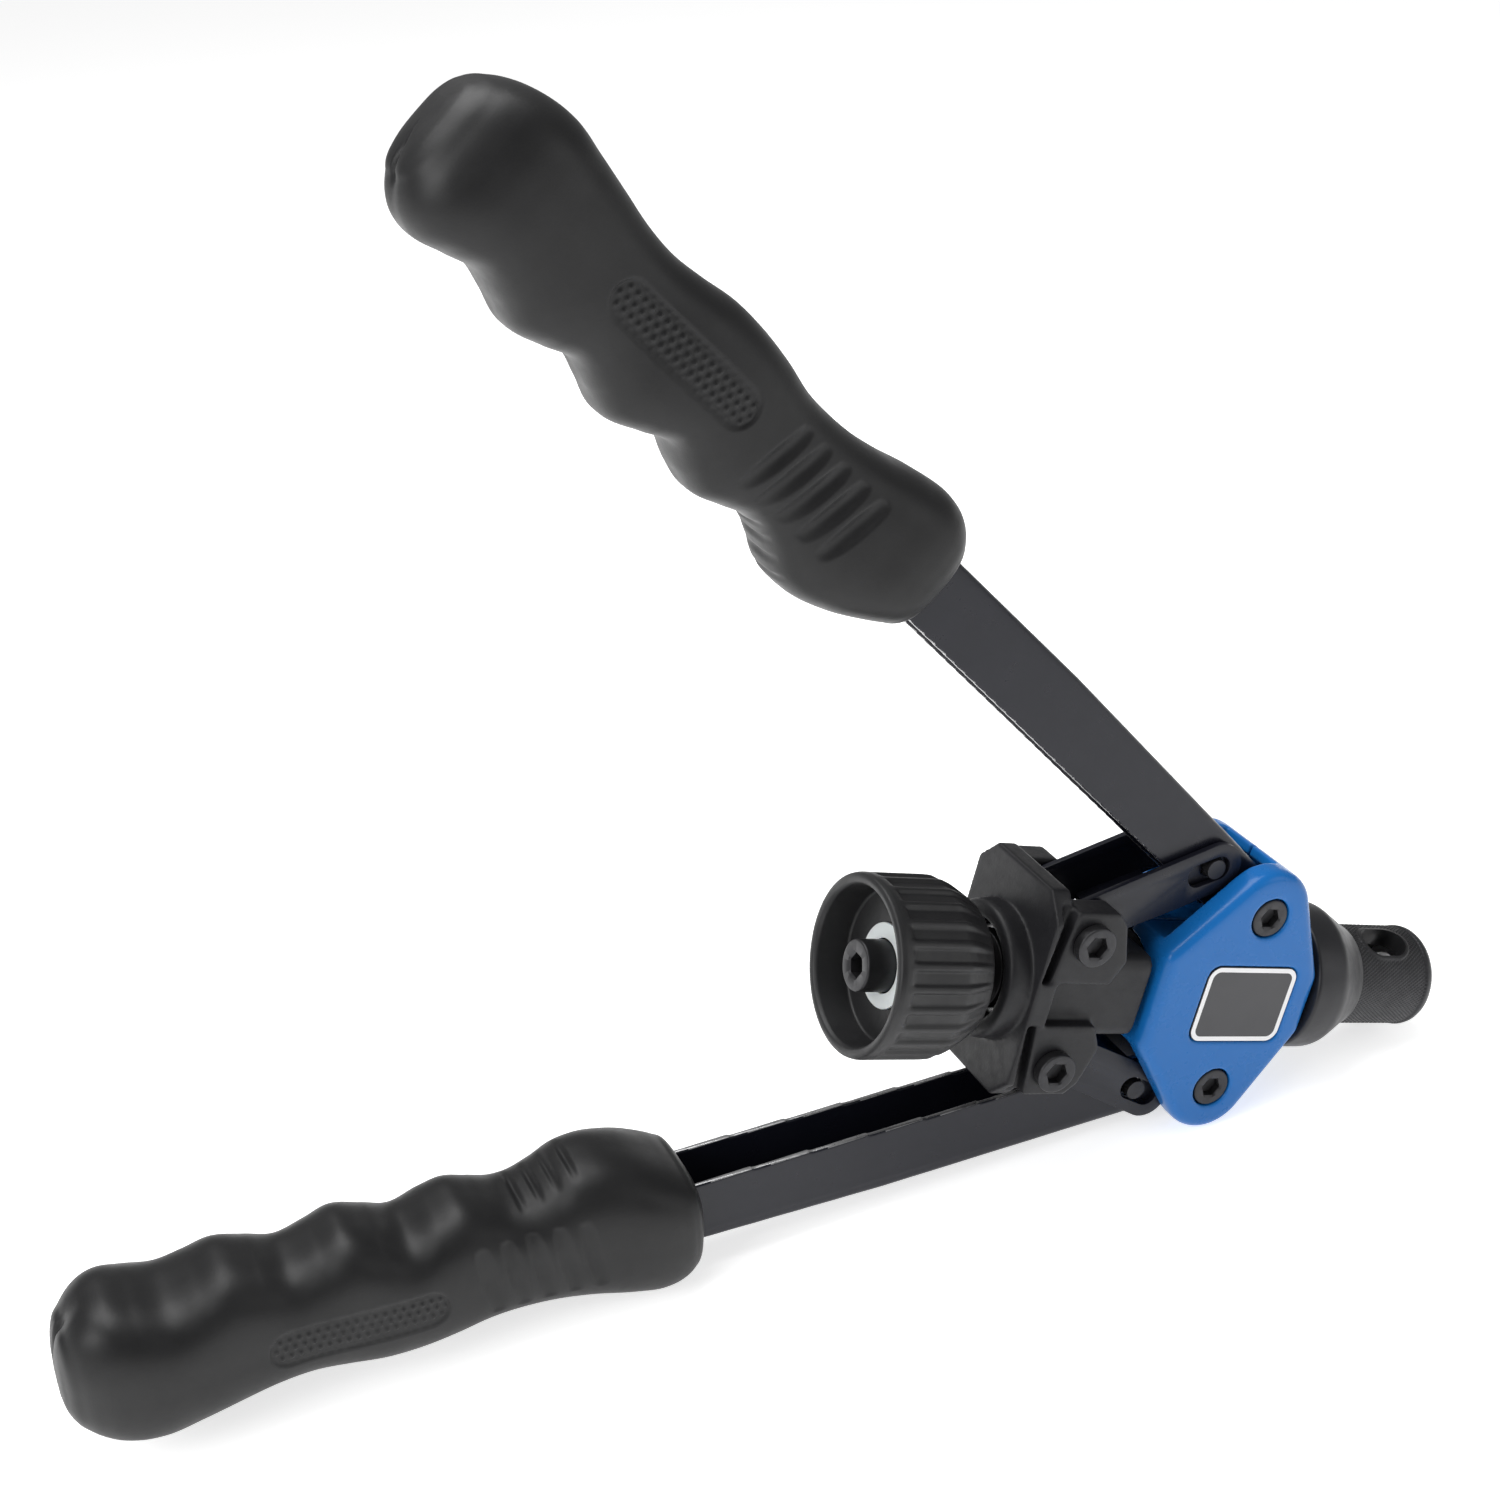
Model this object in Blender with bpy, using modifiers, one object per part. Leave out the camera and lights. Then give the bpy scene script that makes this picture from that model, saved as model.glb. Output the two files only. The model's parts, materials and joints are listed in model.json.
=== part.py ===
"""Two-handed rivet-nut setter ("hand riveter"), built as separate pieces with real joints.

Tool frame: +X along the spindle towards the nose, +Z towards the upper arm, +Y along the hinge
pins. The whole tool hangs from one empty, which is tilted nose-down so that the tool stands on
its lower grip and its head, with the middle of its footprint at the world origin.
"""

import math

import bmesh
import bpy
import numpy as np
from mathutils import Matrix, Vector

MM = 0.001

# Fits between neighbouring pieces.
SEAT_GAP = 0.3 * MM
RUNNING_GAP = 0.35 * MM
SLIDING_GAP = 0.6 * MM
SWING_GAP = 0.7 * MM

# Arms: pressed channels that turn on bushes in the head.
PIVOT_HEIGHT = 23.4 * MM
UPPER_ARM_DEG = 31.5
LOWER_ARM_DEG = 16.0
ARM_LENGTH = 250.0 * MM
ARM_HALF_WIDTH = 7.5 * MM
ARM_SHEET = 1.5 * MM
ARM_OUTER = 8.4 * MM
ARM_INNER = 6.2 * MM
ARM_CROWN = 1.2 * MM
ARM_CROWN_AT = 85.0 * MM
ARM_END_RADIUS = 8.0 * MM
ARM_BEND_RADIUS = 1.8 * MM
LINK_PIN_AT = 17.4 * MM
LINK_SHEET = 1.5 * MM
LINK_HALF_WIDTH = ARM_HALF_WIDTH + SLIDING_GAP + LINK_SHEET
SLOT_HALF_WIDTH = LINK_HALF_WIDTH + SWING_GAP

# Head: two half shells round a bored steel core.
HEAD_WALL = 6.8 * MM
HEAD_HALF_WIDTH = SLOT_HALF_WIDTH + HEAD_WALL
HEAD_FRONT = 21.5 * MM
HEAD_REAR = -26.0 * MM
FRONT_HALF_HEIGHT = 10.0 * MM
REAR_HALF_HEIGHT = 14.5 * MM
LOBE_RADIUS = 12.0 * MM
COVER_ROUNDING = 2.6 * MM
CORE_RADIUS = 11.0 * MM
CORE_FRONT = 24.5 * MM
BADGE_LENGTH = 27.0 * MM
BADGE_HEIGHT = 20.4 * MM
BADGE_CENTRE = 0.9 * MM
BADGE_CORNER = 3.0 * MM
BADGE_THICKNESS = 0.8 * MM

# Fasteners.
PIVOT_BOLT_RADIUS = 3.2 * MM
PIVOT_BUSH_RADIUS = 4.6 * MM
BOLT_HEAD_RADIUS = 4.9 * MM
BOLT_HEAD_HEIGHT = 3.6 * MM
YOKE_BOLT_RADIUS = 2.6 * MM
YOKE_BUSH_RADIUS = 3.5 * MM
YOKE_HEAD_RADIUS = 5.0 * MM
YOKE_HEAD_HEIGHT = 2.6 * MM
SOCKET_RADIUS = 2.7 * MM
SOCKET_DEPTH = 2.2 * MM
LINK_PIN_RADIUS = 2.5 * MM

# Yoke (crosshead) and its two links.
YOKE_BOLT_X = -51.1 * MM
YOKE_BOLT_HEIGHT = 16.6 * MM
CHEEK_THICKNESS = 8.2 * MM
YOKE_HALF_WIDTH = SLOT_HALF_WIDTH + CHEEK_THICKNESS
YOKE_HALF_HEIGHT = 27.0 * MM
YOKE_REAR = -62.0 * MM
YOKE_PLATE = 5.3 * MM
YOKE_CORNER = 6.0 * MM
TAB_FRONT = -39.0 * MM
TAB_LOW = 5.5 * MM
TAB_CHAMFER = 6.0 * MM
GROOVE_WIDTH = 2.6 * MM
GROOVE_DEPTH = 4.0 * MM
GROOVE_LEAN = 2.0 * MM
BOSS_HALF_WIDTH = 14.7 * MM
BOSS_HALF_HEIGHT = 10.8 * MM
BOSS_FRONT = -28.0 * MM
BOSS_ROUNDING = 3.0 * MM
COLLAR_RADIUS = 16.5 * MM
COLLAR_REAR = -66.5 * MM
COLLAR_RECESS_RADIUS = 12.0 * MM
COLLAR_RECESS_FLOOR = -61.5 * MM
LINK_DEPTH = 6.8 * MM
LINK_REAR_RADIUS = 4.9 * MM
LINK_FRONT_RADIUS = 6.3 * MM
LINK_SLOT_BEFORE = 1.5 * MM
LINK_SLOT_PAST = 0.8 * MM
LINK_WEB_START = 11.0 * MM
LINK_WEB_END = 29.0 * MM

# Spindle, its knob and what it carries.
SPINDLE_RADIUS = 6.1 * MM
SPINDLE_REAR = -99.8 * MM
SPINDLE_FRONT = 30.0 * MM
SPIGOT_RADIUS = 3.2 * MM
SPIGOT_LENGTH = 7.0 * MM
FLANGE_RADIUS = 9.5 * MM
FLANGE_THICKNESS = 3.2 * MM
THRUST_WASHER_RADIUS = 10.6 * MM
THRUST_WASHER_THICKNESS = 0.8 * MM
CIRCLIP_RADIUS = 8.2 * MM
CIRCLIP_THICKNESS = 1.0 * MM
CIRCLIP_POCKET_DEPTH = 3.0 * MM
COUPLING_RADIUS = 7.2 * MM
COUPLING_LENGTH = 14.0 * MM
KNOB_RADIUS = 21.5 * MM
KNOB_WALL = 2.9 * MM
KNOB_REAR = -100.4 * MM
KNOB_FRONT = -72.0 * MM
KNOB_FRONT_RADIUS = 15.5 * MM
KNOB_CHAMFER_LENGTH = 8.5 * MM
KNOB_CUP_DEPTH = 9.0 * MM
KNOB_WASHER_RADIUS = 10.0 * MM
KNOB_WASHER_THICKNESS = 0.8 * MM

# Nose: collar, knurled sleeve and anvil.
NOSE_COLLAR_RADIUS = 18.7 * MM
NOSE_COLLAR_STRAIGHT = 9.0 * MM
NOSE_COLLAR_FRONT = 41.0 * MM
NOSE_COLLAR_BORE = 10.2 * MM
SLEEVE_RADIUS = 12.9 * MM
SLEEVE_FRONT = 66.0 * MM
SLEEVE_BORE = 8.0 * MM
SLEEVE_SPIGOT = 9.0 * MM
SLEEVE_ROUNDING = 2.5 * MM
WINDOW_START = 44.5 * MM
WINDOW_END = 58.0 * MM
WINDOW_WIDTH = 9.0 * MM
WINDOW_TURN_DEG = 20.0
ANVIL_LENGTH = 6.5 * MM
ANVIL_BORE = 5.5 * MM

# Grips. The sizes below are (distance from the grip's mouth, size) in millimetres.
GRIP_ON_ARM = 116.5 * MM
GRIP_PAST_ARM = 25.2 * MM
GRIP_OUTER = ((0, 12.8), (9.5, 17.9), (42, 12.1), (70, 14.9), (91, 12.8), (122, 17.5), (142, 15.5))
GRIP_INNER = ((0, 10.8), (8, 14.4), (24, 19.6), (40, 16.4), (142, 16.4))
GRIP_WIDTH = ((0, 14.6), (9.5, 17.0), (42, 14.3), (67.5, 15.2), (90.5, 14.2), (122.5, 16.6), (142, 15.5))
SCALLOP_DEPTH = 1.5 * MM
SCALLOP_PITCH = 25.6 * MM
SCALLOP_RIDGE = 54.5 * MM
SCALLOP_START = 40.0 * MM
BUTT_ROUNDING = 13.0 * MM
GRIP_STATIONS = 26
GRIP_SIDES = 16
GRIP_SQUARENESS = 0.68

FINE = 32
COARSE = 24


def clear_scene():
    for obj in list(bpy.data.objects):
        bpy.data.objects.remove(obj, do_unlink=True)


def new_collection(name, hidden=False):
    collection = bpy.data.collections.new(name)
    bpy.context.scene.collection.children.link(collection)
    collection.hide_render = hidden
    return collection


def material(name, colour, roughness, metallic):
    """One Principled material."""
    mat = bpy.data.materials.new(name)
    mat.use_nodes = True
    shader = mat.node_tree.nodes["Principled BSDF"]
    shader.inputs["Base Color"].default_value = (*colour, 1.0)
    shader.inputs["Roughness"].default_value = roughness
    shader.inputs["Metallic"].default_value = metallic
    mat.diffuse_color = (*colour, 1.0)
    return mat


def empty(name, parent=None, location=(0, 0, 0), rotation=(0, 0, 0)):
    """A joint axis or a frame that pieces hang from."""
    obj = bpy.data.objects.new(name, None)
    obj.location = location
    obj.rotation_euler = rotation
    obj.parent = parent
    PARTS.objects.link(obj)
    return obj


def part(obj, parent, mat):
    """Puts a finished piece under its frame, with its own copy of a material."""
    obj.parent = parent
    own = mat.copy()
    own.name = obj.name
    obj.data.materials.clear()
    obj.data.materials.append(own)
    PARTS.objects.link(obj)
    return obj


def cutter(obj, parent):
    """Hides a shape that only cuts or joins another."""
    obj.parent = parent
    obj.hide_render = True
    obj.display_type = "WIRE"
    CUTTERS.objects.link(obj)
    return obj


def boolean(obj, other, operation="DIFFERENCE"):
    mod = obj.modifiers.new(other.name, "BOOLEAN")
    mod.operation = operation
    mod.object = other
    mod.solver = "EXACT"


def turned(name, profile, axis="X", location=(0, 0, 0), steps=FINE):
    """A turned piece. The profile holds (place along the axis, radius) pairs, from the high end down
    the outside and, for a ring, back up the bore."""
    mesh = bpy.data.meshes.new(name)
    points = [(radius, 0, along) for along, radius in profile]
    edges = [(i, i + 1) for i in range(len(points) - 1)]
    if profile[0][1] > 0 and profile[-1][1] > 0:
        edges.append((len(points) - 1, 0))
    mesh.from_pydata(points, edges, [])
    obj = bpy.data.objects.new(name, mesh)
    obj.location = location
    obj.rotation_euler = (0, math.pi / 2, 0) if axis == "X" else (-math.pi / 2, 0, 0)
    screw = obj.modifiers.new("turn", "SCREW")
    screw.steps = steps
    screw.render_steps = steps
    screw.use_merge_vertices = True
    screw.merge_threshold = 0.00001
    screw.use_smooth_shade = False
    return obj


def ring(name, low, high, outer, bore, axis="X", location=(0, 0, 0), steps=FINE):
    profile = [(high, outer), (low, outer), (low, bore), (high, bore)]
    return turned(name, profile, axis, location, steps)


def rod(name, low, high, radius, axis="X", location=(0, 0, 0), steps=COARSE):
    profile = [(high, 0), (high, radius), (low, radius), (low, 0)]
    return turned(name, profile, axis, location, steps)


def arc(centre, radius, start_deg, end_deg, count):
    """Points along an arc in the XZ plane."""
    angles = np.radians(np.linspace(start_deg, end_deg, count))
    return [(centre[0] + radius * math.cos(a), centre[1] + radius * math.sin(a)) for a in angles]


def tangent_outline(circles, count=32):
    """The outline of a band stretched round some circles, given as (x, z, radius)."""
    points = []
    for x, z, radius in circles:
        points += arc((x, z), radius, 0, 360 - 360 / count, count)
    points = sorted(set((round(x, 9), round(z, 9)) for x, z in points))

    def half(ordered):
        chain = []
        for p in ordered:
            while len(chain) > 1 and turn(chain[-2], chain[-1], p) <= 1e-12:
                chain.pop()
            chain.append(p)
        return chain[:-1]

    return half(points) + half(points[::-1])


def turn(a, b, c):
    """Twice the area of a triangle, positive when it turns anticlockwise."""
    return (b[0] - a[0]) * (c[1] - a[1]) - (b[1] - a[1]) * (c[0] - a[0])


def box_outline(x_low, x_high, z_low, z_high):
    return [(x_low, z_low), (x_high, z_low), (x_high, z_high), (x_low, z_high)]


STAND_XZ = Matrix.Rotation(math.pi / 2, 4, "X")
STAND_YZ = Matrix(((0, 0, 1, 0), (1, 0, 0, 0), (0, 1, 0, 0), (0, 0, 0, 1)))


def slab(name, outline, low, high, plane="XZ"):
    """A flat outline with a thickness, as a mesh. XZ outlines are thick along Y, and YZ ones along X."""
    curve = bpy.data.curves.new(name, "CURVE")
    curve.dimensions = "2D"
    curve.fill_mode = "BOTH"
    curve.extrude = (high - low) / 2
    spline = curve.splines.new("POLY")
    spline.points.add(len(outline) - 1)
    for point, (u, v) in zip(spline.points, outline):
        point.co = (u, v, 0, 1)
    spline.use_cyclic_u = True
    guide = bpy.data.objects.new(name, curve)
    CUTTERS.objects.link(guide)
    bpy.context.view_layer.update()
    graph = bpy.context.evaluated_depsgraph_get()
    mesh = bpy.data.meshes.new_from_object(guide.evaluated_get(graph))
    bpy.data.objects.remove(guide, do_unlink=True)
    middle = (low + high) / 2
    shift = Vector((0, middle, 0)) if plane == "XZ" else Vector((middle, 0, 0))
    mesh.transform(Matrix.Translation(shift) @ (STAND_XZ if plane == "XZ" else STAND_YZ))
    bm = bmesh.new()
    bm.from_mesh(mesh)
    bmesh.ops.remove_doubles(bm, verts=bm.verts, dist=1e-7)
    bmesh.ops.dissolve_limit(bm, angle_limit=0.001, verts=bm.verts, edges=bm.edges)
    bmesh.ops.recalc_face_normals(bm, faces=bm.faces)
    bm.to_mesh(mesh)
    bm.free()
    return bpy.data.objects.new(name, mesh)


def round_edges(obj, chosen, radius, segments=4):
    """Rounds the edges for which chosen(edge) is true."""
    bm = bmesh.new()
    bm.from_mesh(obj.data)
    edges = [edge for edge in bm.edges if chosen(edge)]
    bmesh.ops.bevel(bm, geom=edges, offset=radius, segments=segments, profile=0.5, affect="EDGES")
    bm.to_mesh(obj.data)
    bm.free()


def hex_prism(name, low, high, radius, location, axis="Y"):
    return rod(name, low, high, radius, axis, location, steps=6)


def sides():
    """The near side, -Y, and the far side, +Y."""
    return (("near", -1), ("far", 1))


def ends():
    """The upper and the lower half, as (name, sign)."""
    return (("upper", 1), ("lower", -1))


# Materials.


def make_finishes():
    return {
        "blue": material("blue enamel", (0.02, 0.16, 0.62), 0.28, 0.0),
        "black": material("black painted steel", (0.018, 0.019, 0.022), 0.36, 0.4),
        "cast": material("black cast steel", (0.022, 0.022, 0.024), 0.5, 0.3),
        "oxide": material("black oxide steel", (0.03, 0.03, 0.032), 0.38, 0.8),
        "steel": material("bright steel", (0.6, 0.6, 0.6), 0.3, 1.0),
        "rubber": material("moulded rubber", (0.02, 0.02, 0.021), 0.6, 0.0),
        "plastic": material("moulded plastic", (0.025, 0.025, 0.026), 0.5, 0.0),
        "nylon": material("white nylon", (0.8, 0.8, 0.78), 0.45, 0.0),
        "badge": material("badge", (0.08, 0.08, 0.09), 0.35, 0.0),
    }


# Head.


def head_outline():
    corner = 3.0 * MM
    rear_corner = 3.5 * MM
    circles = [(0, PIVOT_HEIGHT, LOBE_RADIUS), (0, -PIVOT_HEIGHT, LOBE_RADIUS)]
    for sign in (1, -1):
        circles.append((HEAD_FRONT - corner, sign * (FRONT_HALF_HEIGHT - corner), corner))
        circles.append((HEAD_REAR + rear_corner, sign * (REAR_HALF_HEIGHT - rear_corner), rear_corner))
    return tangent_outline(circles)


def arm_slot_outline(sign):
    """The room that an arm's inner end needs in the head: round at the pivot, open behind it."""
    room = ARM_END_RADIUS + 1.3 * MM
    floor = PIVOT_HEIGHT - room
    top = PIVOT_HEIGHT + 3 * LOBE_RADIUS
    behind = 3 * HEAD_REAR
    points = arc((0, PIVOT_HEIGHT), room, -90, 78, 13)
    points += [(room / 2, top), (behind, top), (behind, floor)]
    return [(x, sign * z) for x, z in points]


def badge_outline(length, height, corner):
    circles = []
    for x_sign in (1, -1):
        for z_sign in (1, -1):
            x = BADGE_CENTRE + x_sign * (length / 2 - corner)
            circles.append((x, z_sign * (height / 2 - corner), corner))
    return tangent_outline(circles, 12)


def bolt_seat():
    """Distance from the middle plane to the floor of a cover's counterbore."""
    return HEAD_HALF_WIDTH - BOLT_HEAD_HEIGHT - 2 * SEAT_GAP


def make_covers(tool, finish):
    outer = HEAD_HALF_WIDTH
    past = 2 * MM
    arm_slots = []
    for name, sign in ends():
        slot = slab(f"{name}_arm_slot", arm_slot_outline(sign), -SLOT_HALF_WIDTH, SLOT_HALF_WIDTH)
        arm_slots.append(cutter(slot, tool))
    channel = cutter(rod("core_channel", HEAD_REAR - past, HEAD_FRONT + past, CORE_RADIUS + SEAT_GAP), tool)
    for name, sign in sides():
        low, high = sorted((sign * SEAT_GAP / 2, sign * outer))
        cover = slab(f"{name}_cover", head_outline(), low, high)
        face = sign * outer

        def on_face_rim(edge):
            flat = all(abs(v.co.y - face) < 1e-6 for v in edge.verts)
            return flat and len(edge.link_faces) == 2

        round_edges(cover, on_face_rim, COVER_ROUNDING)
        part(cover, tool, finish["blue"])
        for slot in arm_slots:
            boolean(cover, slot)
        boolean(cover, channel)
        for end, up in ends():
            hole_radius = PIVOT_BOLT_RADIUS + SEAT_GAP
            sink_radius = BOLT_HEAD_RADIUS + 0.4 * MM
            profile = [(outer + past, 0), (outer + past, sink_radius), (bolt_seat(), sink_radius)]
            profile += [(bolt_seat(), hole_radius), (0, hole_radius), (0, 0)]
            if sign < 0:
                profile = [(-along, radius) for along, radius in profile[::-1]]
            hole = turned(f"{name}_{end}_bolt_hole", profile, "Y", (0, 0, up * PIVOT_HEIGHT), COARSE)
            boolean(cover, cutter(hole, tool))
        margin = 0.4 * MM
        recess_outline = badge_outline(BADGE_LENGTH + margin, BADGE_HEIGHT + margin, BADGE_CORNER)
        floor = outer - BADGE_THICKNESS - 1.5 * SEAT_GAP
        reach = sorted((sign * floor, sign * (outer + past)))
        boolean(cover, cutter(slab(f"{name}_badge_recess", recess_outline, *reach), tool))
        reach = sorted((sign * (floor + SEAT_GAP), sign * (floor + SEAT_GAP + BADGE_THICKNESS)))
        badge = slab(f"{name}_badge", badge_outline(BADGE_LENGTH, BADGE_HEIGHT, BADGE_CORNER), *reach)
        part(badge, tool, finish["badge"])


def make_head_core(tool, finish):
    bore = SPINDLE_RADIUS + SLIDING_GAP
    core = ring("head_core", HEAD_REAR + SEAT_GAP, CORE_FRONT, CORE_RADIUS, bore)
    part(core, tool, finish["oxide"])


def socket_bolt(name, at, head_low, head_high, head_radius, shank_end, shank_radius, parent, finish):
    """A socket-head bolt along Y with its head on the near side, -Y."""
    chamfer = 0.4 * MM
    profile = [
        (shank_end, 0),
        (shank_end, shank_radius),
        (head_high, shank_radius),
        (head_high, head_radius),
        (head_low + chamfer, head_radius),
        (head_low, head_radius - chamfer),
        (head_low, 0),
    ]
    bolt = part(turned(name, profile, "Y", at, COARSE), parent, finish)
    past = 1 * MM
    socket = hex_prism(f"{name}_socket", head_low - past, head_low + SOCKET_DEPTH, SOCKET_RADIUS, at)
    boolean(bolt, cutter(socket, parent))


def make_pivot_fasteners(tool, finish):
    seat = bolt_seat()
    for name, sign in ends():
        at = (0, 0, sign * PIVOT_HEIGHT)
        head_top = seat + SEAT_GAP + BOLT_HEAD_HEIGHT
        socket_bolt(
            f"{name}_pivot_bolt", at, -head_top, -seat - SEAT_GAP, BOLT_HEAD_RADIUS,
            head_top - 1 * MM, PIVOT_BOLT_RADIUS, tool, finish["oxide"],
        )
        bore = PIVOT_BOLT_RADIUS + SEAT_GAP
        nut = ring(f"{name}_pivot_nut", seat + SEAT_GAP, head_top, BOLT_HEAD_RADIUS, bore, "Y", at, COARSE)
        part(nut, tool, finish["oxide"])
        half = LINK_HALF_WIDTH + SEAT_GAP
        bush = ring(f"{name}_pivot_bush", -half, half, PIVOT_BUSH_RADIUS, bore, "Y", at, COARSE)
        part(bush, tool, finish["steel"])


# Nose.


def make_nose(tool, sleeve_axis, finish):
    chamfer = 1.0 * MM
    rear = HEAD_FRONT + SEAT_GAP
    radius = NOSE_COLLAR_RADIUS
    front_radius = SLEEVE_RADIUS + 0.4 * MM
    step = CORE_FRONT + SEAT_GAP
    profile = [
        (NOSE_COLLAR_FRONT, front_radius),
        (NOSE_COLLAR_FRONT - 1.5 * MM, front_radius + 0.5 * MM),
        (rear + NOSE_COLLAR_STRAIGHT, radius),
        (rear + chamfer, radius),
        (rear, radius - chamfer),
        (rear, CORE_RADIUS + SEAT_GAP),
        (step, CORE_RADIUS + SEAT_GAP),
        (step, NOSE_COLLAR_BORE),
        (NOSE_COLLAR_FRONT, NOSE_COLLAR_BORE),
    ]
    part(turned("nose_collar", profile), tool, finish["black"])
    sleeve_rear = NOSE_COLLAR_FRONT + SEAT_GAP
    corner = [
        (SLEEVE_FRONT - SLEEVE_ROUNDING + x, SLEEVE_RADIUS - SLEEVE_ROUNDING + r)
        for x, r in arc((0, 0), SLEEVE_ROUNDING, 0, 90, 5)
    ]
    profile = corner + [
        (sleeve_rear, SLEEVE_RADIUS),
        (sleeve_rear, NOSE_COLLAR_BORE - SEAT_GAP),
        (sleeve_rear - SLEEVE_SPIGOT, NOSE_COLLAR_BORE - SEAT_GAP),
        (sleeve_rear - SLEEVE_SPIGOT, SLEEVE_BORE),
        (SLEEVE_FRONT, SLEEVE_BORE),
    ]
    sleeve = part(turned("nose_sleeve", profile), sleeve_axis, finish["oxide"])
    half = WINDOW_WIDTH / 2
    reach = 2 * SLEEVE_RADIUS
    outline = tangent_outline([(WINDOW_START + half, 0, half), (WINDOW_END - half, 0, half)])
    window = slab("nose_window", outline, -reach, reach)
    window.rotation_euler = (math.pi / 2 + math.radians(WINDOW_TURN_DEG), 0, 0)
    boolean(sleeve, cutter(window, sleeve_axis))
    anvil_rear = SLEEVE_FRONT - ANVIL_LENGTH
    anvil = ring("anvil", anvil_rear, SLEEVE_FRONT, SLEEVE_BORE - SEAT_GAP, ANVIL_BORE)
    part(anvil, sleeve_axis, finish["steel"])


# Arms and grips.


def eased(at, keys):
    """Value at a distance along the grip, easing between (distance, value) keys in millimetres."""
    places = np.array([key[0] for key in keys]) * MM
    values = np.array([key[1] for key in keys]) * MM
    i = int(np.clip(np.searchsorted(places, at) - 1, 0, len(places) - 2))
    share = np.clip((at - places[i]) / (places[i + 1] - places[i]), 0, 1)
    share = (1 - math.cos(math.pi * share)) / 2
    return float(values[i] + (values[i + 1] - values[i]) * share)


def grip_section(at, length):
    """(outer, inner, half width) of the grip's section, with finger scallops and a round butt."""
    outer = eased(at, GRIP_OUTER)
    inner = eased(at, GRIP_INNER)
    width = eased(at, GRIP_WIDTH)
    if at > SCALLOP_START:
        inner += SCALLOP_DEPTH * math.cos(2 * math.pi * (at - SCALLOP_RIDGE) / SCALLOP_PITCH)
    past = max(0, at - (length - BUTT_ROUNDING)) / BUTT_ROUNDING
    shrink = 0.35 + 0.65 * math.sqrt(max(0, 1 - past**2))
    return outer * shrink, inner * shrink, width * shrink


def make_grip(name, axis, finish):
    """A loft between superelliptic sections, with a pocket for the arm."""
    bm = bmesh.new()
    mouth = ARM_LENGTH - GRIP_ON_ARM
    length = GRIP_ON_ARM + GRIP_PAST_ARM
    straight = length - BUTT_ROUNDING
    places = list(np.linspace(0, straight, GRIP_STATIONS))
    places += [straight + BUTT_ROUNDING * share for share in (0.45, 0.75, 0.93, 1.0)]
    rings = []
    for at in places:
        outer, inner, width = grip_section(at, length)
        loop = []
        for k in range(GRIP_SIDES):
            angle = 2 * math.pi * k / GRIP_SIDES
            c, s = math.cos(angle), math.sin(angle)
            y = width * math.copysign(abs(c) ** GRIP_SQUARENESS, c)
            z = (outer if s > 0 else inner) * math.copysign(abs(s) ** GRIP_SQUARENESS, s)
            loop.append(bm.verts.new((-mouth - at, y, z)))
        rings.append(loop)
    for first, second in zip(rings, rings[1:]):
        for k in range(GRIP_SIDES):
            after = (k + 1) % GRIP_SIDES
            bm.faces.new((first[k], first[after], second[after], second[k]))
    bm.faces.new(rings[0])
    bm.faces.new(rings[-1])
    bmesh.ops.recalc_face_normals(bm, faces=bm.faces)
    mesh = bpy.data.meshes.new(f"{name}_grip")
    bm.to_mesh(mesh)
    bm.free()
    grip = part(bpy.data.objects.new(f"{name}_grip", mesh), axis, finish["rubber"])
    room = ARM_HALF_WIDTH + SEAT_GAP
    before = mouth - 5 * MM
    end = ARM_LENGTH + SEAT_GAP
    outline = [(-end, arm_outer(end)), (-before, arm_outer(before)), (-before, arm_inner(before))]
    outline.append((-end, arm_inner(end)))
    outline = [(x, z + math.copysign(SEAT_GAP, z)) for x, z in outline]
    boolean(grip, cutter(slab(f"{name}_grip_pocket", outline, -room, room), axis))


def arm_outer(at):
    """Height of the arm's outer face beyond its crown, at a distance from the pivot."""
    share = (at - ARM_CROWN_AT) / (ARM_LENGTH - ARM_CROWN_AT)
    return ARM_OUTER + ARM_CROWN * (1 - share)


def arm_inner(at):
    """Height of the arm's inner edge, at a distance from the pivot."""
    return -ARM_END_RADIUS + (ARM_END_RADIUS - ARM_INNER) * at / ARM_LENGTH


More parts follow.
